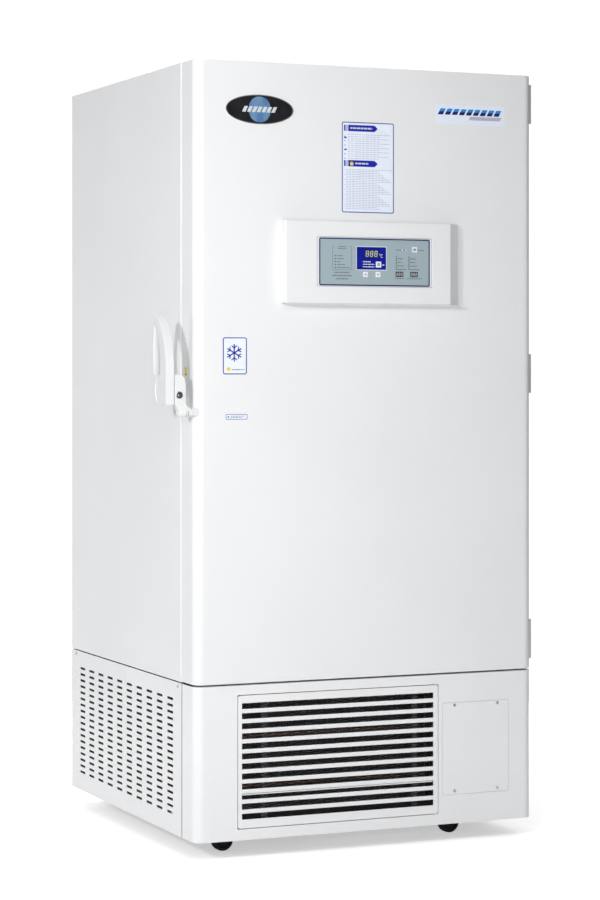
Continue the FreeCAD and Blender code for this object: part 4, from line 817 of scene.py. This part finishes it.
def instruction_label():
    """Pale film with two arrow-ended headings over rows of faint dashes."""
    x0, z0 = door_point(395, 1611)
    x1, z1 = door_point(541.4, 1841)
    panel = label("instruction_label", x0, x1, z0, z1, 5, 2.4)
    corner = Vector((x0, panel.front, z1))
    over = Panel(corner, corner)
    bm = bmesh.new()
    for z, text in ((16.0, (24, 85)), (105.0, (38, 74))):
        outline = [panel.at(18.5, z + 8), panel.at(91.6, z + 8), panel.at(100.6, z), panel.at(91.6, z - 8),
                   panel.at(18.5, z - 8)]
        slab(bm, outline, panel.back, panel.front, 0)
        for left, right in ((6.6, 11.0), (13.4, 14.6), (16.2, 17.2)):
            panel.bar(bm, left, right, z, 15.0, 1)
        words(bm, over, *text, z, 4.0, 2, 9, 1.6)
    over.dot(bm, 28, 106.0, 5.0, 3)
    for z in (40.5, 70.5):
        panel.bar(bm, 6.8, 14.5, z, 3.6, 0, 1.7)
    for row in range(12):
        z = 32 + 5.5 * row
        if row % 2:
            panel.dot(bm, 9, z, 1.4, 1)
        words(bm, panel, 17, 136 - (row * 29) % 57, z, 1.5, 4, 9, 2.0)
    for row in range(24):
        z = 120.5 + 4.3 * row
        if row % 3 == 0:
            panel.dot(bm, 7.5, z, 1.1, 4)
        words(bm, panel, 12, 140 - (row * 37) % 43, z, 1.4, 4, 8, 1.6)
    add_piece("instruction_marks", bm, "door",
              ["royal_print", "soft_navy_print", "pale_print", "yellow_print", "faint_print"])


def cold_label():
    """Blue-bordered label; a plain six-armed ice star and a caption dash are its only marks."""
    x0, z0 = door_point(72.3, 1203)
    x1, z1 = door_point(137.7, 1296)
    panel = label("cold_label", x0, x1, z0, z1, 6, 2.6)
    bm = bmesh.new()
    cx, cz = 31.0, 39.0
    for arm in range(6):
        turn = math.radians(60 * arm + 30)
        tip = (cx + 20 * math.cos(turn), cz + 20 * math.sin(turn))
        panel.line(bm, [(cx, cz), tip], 3.2)
        for side in (-1, 1):
            start = (cx + 12 * math.cos(turn), cz + 12 * math.sin(turn))
            bent = turn + side * math.radians(52)
            panel.line(bm, [start, (start[0] + 8 * math.cos(bent), start[1] + 8 * math.sin(bent))], 2.6)
    panel.dot(bm, 16.0, 79.0, 5.0, 1)
    words(bm, panel, 25, 57, 80.5, 2.0, 2, 7)
    add_piece("cold_label_marks", bm, "door", ["royal_print", "yellow_print", "grey_print"])


def small_label():
    x0, z0 = door_point(80.3, 1091.5)
    x1, z1 = door_point(139, 1106)
    panel = label("small_label", x0, x1, z0, z1, 2.5, 1.3)
    bm = bmesh.new()
    panel.dot(bm, 7.5, 7.4, 2.1, 0)
    words(bm, panel, 14, 50, 5.6, 1.4, 1, 6)
    words(bm, panel, 14, 43, 9.0, 1.4, 1, 6)
    add_piece("small_label_marks", bm, "door", ["black_print", "grey_print"])


def slanted(bm, x0, x1, z0, z1, lean, back, front, material):
    """Bar whose top is shifted sideways by lean."""
    slab(bm, [(x0, z0), (x1, z0), (x1 + lean, z1), (x0 + lean, z1)], back, front, material)


def oval_badge():
    """Domed black enamel badge with a bright rim, and a row of slanted bars across a plain blue disc."""
    low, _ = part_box("door_skin")
    cx, cz = door_point(170.8, 1861.5)
    rx, rz = 91 * MM, 36.5 * MM
    bm = bmesh.new()
    outer = ellipse(cx, cz, rx, rz, 64)
    rim = ellipse(cx, cz, rx - 2.0 * MM, rz - 2.0 * MM, 64)
    band(bm, outer, rim, low.y + 0.1 * MM, low.y - 2.2 * MM, 0)
    dome(bm, rim, low.y, [(1.0, 0), (1.0, 1.3 * MM), (0.9, 1.7 * MM), (0.6, 2.1 * MM), (0.25, 2.3 * MM)], 1)
    smooth(add_piece("oval_badge", bm, "door", ["badge_metal", "black_enamel"]), 40)
    bm = bmesh.new()
    disc = ellipse(cx, cz, 32 * MM, 32 * MM, 48)
    dome(bm, disc, low.y - 1.9 * MM, [(1.0, 0), (0.9, 0.5 * MM), (0.5, 0.8 * MM)], 0)
    for number in range(7):
        x = cx + (13 * number - 47.5) * MM
        slanted(bm, x, x + 9 * MM, cz - 7 * MM, cz + 7 * MM, 7 * MM, low.y - 1.4 * MM, low.y - 2.95 * MM, 1)
    smooth(add_piece("oval_badge_marks", bm, "door", ["blue_foil", "pale_print"]), 40)


def slanted_badge():
    """Pale film with a row of two-coloured slanted bars over a short slanted block."""
    low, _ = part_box("door_skin")
    x0, z0 = door_point(660, 1845)
    x1, z1 = door_point(861, 1896)
    back, front = low.y + 0.05 * MM, low.y - 0.7 * MM
    bm = bmesh.new()
    slab(bm, rectangle(x0, x1, z0, z1, 3 * MM), back, low.y - 0.5 * MM, 0)
    bars = 9
    foot, middle, top = z0 + 24.5 * MM, z0 + 32.5 * MM, z0 + 40 * MM
    lean = 0.55
    pitch = (x1 - x0 - 20 * MM) / bars
    for number in range(bars):
        a = x0 + 5 * MM + number * pitch
        b = a + pitch * 0.74
        for low_z, high_z, colour in ((foot, middle, 1), (middle, top, 2)):
            shift = (low_z - foot) * lean
            slanted(bm, a + shift, b + shift, low_z, high_z, (high_z - low_z) * lean, back, front, colour)
    slanted(bm, x0 + 94 * MM, x0 + 184 * MM, z0 + 12.5 * MM, z0 + 21.5 * MM, 5 * MM, back, front, 3)
    add_piece("slanted_badge", bm, "door",
              ["label_film", "navy_print", "azure_print", "faint_print"])


def side_tag():
    """Small plain yellow tag on the door's left return, behind the grip."""
    low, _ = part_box("door_skin")
    y0 = low.y + 58 * MM
    bm = bmesh.new()
    slab(bm, rectangle(y0, y0 + 14 * MM, 1.2, 1.222, 2 * MM), low.x + 0.05 * MM, low.x - 0.15 * MM, 0, "x")
    slab(bm, rectangle(y0 + 2 * MM, y0 + 12 * MM, 1.203, 1.205), low.x, low.x - 0.22 * MM, 1, "x")
    add_piece("side_tag", bm, "door", ["yellow_print", "black_print"])


# ---- lock, gasket and grille -----------------------------------------------------------------------
def lock_barrel():
    """Barrel with a bright rim, black face and bright keyway, crossed by a black bar that is painted shade
    for the key slot; it replaces the plain one.
    """
    low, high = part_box("key_cylinder")
    x = (low.x + high.x) / 2
    z = (low.z + high.z) / 2
    radius = (high.x - low.x) / 2
    depth = high.y - low.y
    bm = bmesh.new()
    turned(bm, (x, high.y, z), (0, -1, 0), [
        (0, radius * 0.8), (0.001, radius), (depth - 1.2 * MM, radius), (depth - 0.3 * MM, radius * 0.94),
        (depth, radius * 0.86), (depth, radius * 0.8), (depth - 0.9 * MM, radius * 0.74)], 40, 0)
    turned(bm, (x, low.y + 3 * MM, z), (0, -1, 0), [
        (0, radius * 0.72), (2.0 * MM, radius * 0.72), (2.5 * MM, radius * 0.62),
        (2.6 * MM, radius * 0.34)], 40, 1)
    turned(bm, (x, low.y + 2 * MM, z), (0, -1, 0), [
        (0, radius * 0.32), (1.6 * MM, radius * 0.32), (1.8 * MM, radius * 0.26)], 28, 0)
    # black bar for the key slot: painted shade in place of the slot's dark opening
    slab(bm, rectangle(x - 0.6 * MM, x + 0.6 * MM, z - 2.6 * MM, z + 2.6 * MM, 0.5 * MM), low.y + 1 * MM,
         low.y + 0.1 * MM, 2)
    piece = add_piece("lock_barrel_face", bm, "lock_barrel",
                      ["chrome", "black_plastic", "black_print"], ["key_cylinder"])
    smooth(piece, 40)


def pivot_rings():
    """End cap of the lever's pivot boss, and the raised rings and fine gaps along it; the gaps are sunk
    between the rings and coloured dark grey as painted shade.
    """
    low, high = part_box("handle_pivot")
    y = (low.y + high.y) / 2
    z = (low.z + high.z) / 2
    radius = (high.z - low.z) / 2
    bm = bmesh.new()
    turned(bm, (low.x - 7 * MM, y, z), (-1, 0, 0), [
        (0, radius * 0.86), (4.4 * MM, radius * 0.86), (5.4 * MM, radius * 0.76), (5.6 * MM, radius * 0.5),
        (5.0 * MM, radius * 0.42)], 40)
    # colour 1 marks the gaps: dark grey that is painted shade in the grooves between the rings
    for start, width, proud, colour in ((4.0, 3.4, 0.9, 0), (7.4, 1.2, 0.15, 1), (8.6, 3.4, 0.9, 0),
                                        (12.0, 1.2, 0.15, 1)):
        edge = 0.5 * MM if colour == 0 else 0.0
        turned(bm, (low.x + start * MM, y, z), (1, 0, 0), [
            (0, radius + proud * MM - edge), (edge, radius + proud * MM),
            (width * MM - edge, radius + proud * MM), (width * MM, radius + proud * MM - edge)], 40, colour)
    smooth(add_piece("pivot_rings", bm, "lever", ["cast_zinc", "post_paint_and_gap_shade"]), 40)


def vent_shade_screens():
    """Black insect net behind each slotted side panel, its darkness also painted shade for the inside of the
    base behind the slots, and a black strip behind the joint with the front cover, painted shade in that gap.
    """
    low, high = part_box("base_vent_panels")
    y0, y1 = low.y + 0.085, high.y - 0.06
    z0, z1 = low.z + 0.03, high.z - 0.025
    for side, x in (("left", low.x + 4 * MM), ("right", high.x - 4 * MM)):
        inward = 1 if side == "left" else -1
        bm = bmesh.new()
        # black net and ribs: their dark colour is painted shade for the base's inside seen through the slots
        slab(bm, rectangle(y0, y1, z0, z1, 6 * MM), x, x + 1.2 * inward * MM, 0, "x")
        for share in range(5):
            y = y0 + (y1 - y0) * (share + 0.5) / 5
            slab(bm, rectangle(y - 5 * MM, y + 5 * MM, z0, z1, 2 * MM), x, x + 3 * inward * MM, 1, "x")
        # black strip behind the joint: painted shade for the gap between the vent panel and the front cover
        joint = rectangle(low.y - 14 * MM, low.y + 8 * MM, low.z + 1 * MM, high.z - 1 * MM, 1 * MM)
        slab(bm, joint, x - 2.2 * inward * MM, x - 1.0 * inward * MM, 1, "x")
        add_piece("vent_shade_screen_" + side, bm, "cabinet", ["filter_mesh", "black_steel"])


def bellows_gasket():
    """Magnetic door seal: one mitred loop with a ribbed section, in place of the four plain bars."""
    low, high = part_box("door_gasket")
    depth = high.y - low.y
    width = 35 * MM
    profile = [(0.0, 0.0), (0.02, 0.55), (0.10, 0.9), (0.20, 1.0), (0.30, 0.9), (0.36, 0.55), (0.44, 0.42),
               (0.50, 0.62), (0.56, 0.42), (0.66, 0.5), (0.74, 0.95), (0.84, 1.0), (0.94, 0.9), (1.0, 0.5),
               (1.0, 0.0)]
    bm = bmesh.new()
    rings = []
    for inward, out in profile:
        d = inward * width
        y = low.y + depth * out
        outline = rectangle(low.x + d, high.x - d, low.z + d, high.z - d, max(10 * MM - d * 0.2, 3 * MM), 6)
        rings.append([bm.verts.new((x, y, z)) for x, z in outline])
    skin(bm, rings, closed=True)
    smooth(add_piece("bellows_gasket", bm, "door", ["seal_rubber"], ["door_gasket"]), 50)


def filter_net():
    """Net of crossed slanting strands in a frame, with two grey stiffening posts behind it."""
    low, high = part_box("air_filter")
    rail = 7 * MM
    bm = bmesh.new()
    outer = rectangle(low.x, high.x, low.z, high.z, 4 * MM)
    inner = rectangle(low.x + rail, high.x - rail, low.z + rail, high.z - rail, 2 * MM)
    band(bm, outer, inner, high.y, low.y, 0)
    thick = 0.9 * MM
    slope = 0.22
    pitch = 7.2 * MM
    width = high.x - low.x - 2 * rail
    drop = width * slope
    count = int((high.z - low.z + drop) / pitch)
    z_low, z_high = low.z + rail / 2, high.z - rail / 2
    for side, depth in ((1, 0.0), (-1, 2.0 * thick)):
        for number in range(1, count):
            z_left = low.z - (drop if side > 0 else 0) + number * pitch
            ends = [(x, z_left + side * (x - low.x) * slope) for x in (low.x + rail / 2, high.x - rail / 2)]
            if max(z for _, z in ends) < z_low or min(z for _, z in ends) > z_high:
                continue
            strand = []
            for x, z in ends:
                clipped = min(max(z, z_low), z_high)
                strand.append((x + (clipped - z) / (side * slope), low.y + 1.2 * MM + depth, clipped))
            tube(bm, strand, thick, 4)
    for share in (0.136, 0.914):
        x = low.x + (high.x - low.x) * share
        post = rectangle(x - 8 * MM, x + 8 * MM, low.z + 2 * MM, high.z - 2 * MM)
        slab(bm, post, high.y, high.y - 1.4 * MM, 1)
    add_piece("filter_net", bm, "grille", ["filter_mesh", "post_paint_and_gap_shade"], ["air_filter"])


def grille_trim():
    """Stiffening ledge on the inside of the grille's front."""
    low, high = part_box("grille_door")
    bm = bmesh.new()
    ledge_z = high.z - 0.251
    slab(bm, rectangle(low.x + 12 * MM, high.x - 14 * MM, ledge_z, ledge_z + 3.2 * MM), low.y + 13 * MM,
         low.y + 2.6 * MM, 0)
    piece = add_piece("grille_ledge", bm, "grille", ["white_paint"])
    soften(piece, 0.4 * MM, 2)


# ---- machinery and inside --------------------------------------------------------------------------
def condenser_fins():
    """Stack of thin fins threaded by copper tubes with return bends, in place of the solid block."""
    low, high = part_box("condenser_coil")
    bend = 16.5 * MM
    right = high.x - bend
    bm = bmesh.new()
    for x in (low.x, right - 1.5 * MM):
        slab(bm, rectangle(low.y, high.y, low.z, high.z, 2 * MM), x, x + 1.5 * MM, 0, "x")
    fin = rectangle(low.y + 4 * MM, high.y - 4 * MM, low.z + 4 * MM, high.z - 4 * MM)
    fin_pitch = 3.4 * MM
    fins = int((right - low.x - 4 * MM) / fin_pitch)
    for number in range(fins):
        x = low.x + 3 * MM + number * fin_pitch
        slab(bm, fin, x, x + 0.3 * MM, 0, "x")
    rows = 7
    pitch = (high.z - low.z) / rows
    middle = (low.y + high.y) / 2
    for row in range(rows):
        z = low.z + pitch * (row + 0.5)
        arc = [math.radians(-90 + 180 * step / 10) for step in range(11)]
        path = [(low.x + 1 * MM, middle - 12 * MM, z)]
        path += [(right + 11.5 * MM * math.cos(t), middle + 12 * MM * math.sin(t), z) for t in arc]
        path += [(low.x + 1 * MM, middle + 12 * MM, z)]
        tube(bm, path, 4.2 * MM, 10, material=1)
    piece = add_piece("condenser_fins", bm, BODY_OF["condenser_coil"],
                      ["aluminium_fins", "copper"], ["condenser_coil"])
    smooth(piece, 40)


def fan_guard():
    """Concentric wire rings on eight spokes over the fan."""
    low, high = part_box("fan_motor")
    x = (low.x + high.x) / 2
    z = (low.z + high.z) / 2
    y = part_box("fan_shroud")[1].y - 8 * MM
    wire = 1.2 * MM
    bm = bmesh.new()
    for radius in (0.055, 0.075, 0.095, 0.115):
        tube(bm, [(x + radius * math.cos(t), y, z + radius * math.sin(t)) for t in turns(48)], wire, 6, True)
    for number in range(8):
        t = math.radians(22.5 + 45 * number)
        spoke = [(x + r * math.cos(t), y + 2.2 * MM, z + r * math.sin(t)) for r in (0.046, 0.1245)]
        tube(bm, spoke, wire, 6)
    smooth(add_piece("fan_guard", bm, "cabinet", ["zinc_steel"]), 60)


def compressor_details():
    """Foot bolts and a short copper filling pipe on each compressor."""
    for node in ("compressor_first_stage", "compressor_second_stage"):
        low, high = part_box(node)
        x = (low.x + high.x) / 2
        y = low.y + 112 * MM
        bm = bmesh.new()
        for dx in (-80, 80):
            for dy in (-55, 55):
                turned(bm, (x + dx * MM, y + dy * MM, low.z + 14 * MM), (0, 0, 1), [
                    (0, 9 * MM), (1.5 * MM, 9 * MM), (1.5 * MM, 5.8 * MM), (6 * MM, 5.8 * MM),
                    (7 * MM, 4.6 * MM)], 6)
        pipe = [(x + 14 * MM, y + 20 * MM, high.z + rise * MM) for rise in (-3, 12)]
        tube(bm, pipe, 4 * MM, 12, material=1)
        add_piece(node + "_fittings", bm, "cabinet", ["zinc_steel", "copper"])


def inner_door_seals():
    """Soft seal round the back of each inner door and a turn latch on its free edge."""
    for node in ("inner_door_upper", "inner_door_lower"):
        low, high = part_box(node)
        bm = bmesh.new()
        outer, inner = [rectangle(low.x + d, high.x - d, low.z + d, high.z - d, 6 * MM)
                        for d in (14 * MM, 24 * MM)]
        band(bm, outer, inner, high.y - 0.5 * MM, high.y + 3.5 * MM)
        middle = (low.z + high.z) / 2
        turned(bm, (low.x + 22 * MM, low.y + 2 * MM, middle), (0, -1, 0), [
            (0, 9 * MM), (2 * MM, 9 * MM), (3 * MM, 8 * MM), (4.5 * MM, 7.6 * MM)], 28, 1)
        piece = add_piece(node + "_seal", bm, BODY_OF[node], ["seal_rubber", "black_plastic"])
        smooth(piece, 40)


def rear_screws():
    """Pan-head screws round the rear panel and the rear cover."""
    low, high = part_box("cabinet_rear_panel")
    cover_low, cover_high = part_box("base_rear_cover")
    bm = bmesh.new()
    inset = 14 * MM
    spots = []
    for share in range(5):
        x = low.x + inset + (high.x - low.x - 2 * inset) * share / 4
        spots += [(x, z) for z in (high.z - inset, low.z + inset, cover_high.z - inset, cover_low.z + inset)]
    for share in range(1, 7):
        z = low.z + inset + (high.z - low.z - 2 * inset) * share / 7
        spots += [(low.x + inset, z), (high.x - inset, z)]
    for x, z in spots:
        turned(bm, (x, high.y - 0.2 * MM, z), (0, 1, 0), [
            (0, 4.2 * MM), (0.9 * MM, 4.1 * MM), (1.7 * MM, 3.2 * MM), (2.1 * MM, 1.9 * MM),
            (1.3 * MM, 1.4 * MM)], 16)
    smooth(add_piece("rear_screws", bm, "cabinet", ["zinc_steel"]), 45)


def rating_plate():
    """Blank metal plate with plain engraved rules low on the rear panel."""
    low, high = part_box("cabinet_rear_panel")
    width, height = 120 * MM, 80 * MM
    x0, z0 = (low.x + high.x - width) / 2, low.z + 120 * MM
    bm = bmesh.new()
    slab(bm, rectangle(x0, x0 + width, z0, z0 + height, 3 * MM), high.y - 0.1 * MM, high.y + 0.5 * MM, 0)
    for row in range(6):
        z = z0 + (10 + 11 * row) * MM
        rule = rectangle(x0 + 8 * MM, x0 + (60 + 45 * (row % 2)) * MM, z, z + 2 * MM)
        slab(bm, rule, high.y, high.y + 0.7 * MM, 1)
    add_piece("rating_plate", bm, "cabinet", ["badge_metal", "grey_print"])


make_camera()
make_world()
make_floor(FINISH["floor"])
for light in LIGHTS:
    softbox(*light)
finish_nodes()
membrane_print()
recess_shade_line()
window_print()
lamp_dome()
button_icons()
instruction_label()
cold_label()
small_label()
oval_badge()
slanted_badge()
side_tag()
lock_barrel()
pivot_rings()
vent_shade_screens()
bellows_gasket()
filter_net()
grille_trim()
condenser_fins()
fan_guard()
compressor_details()
inner_door_seals()
rear_screws()
rating_plate()

bpy.context.scene.view_settings.view_transform = "Standard"
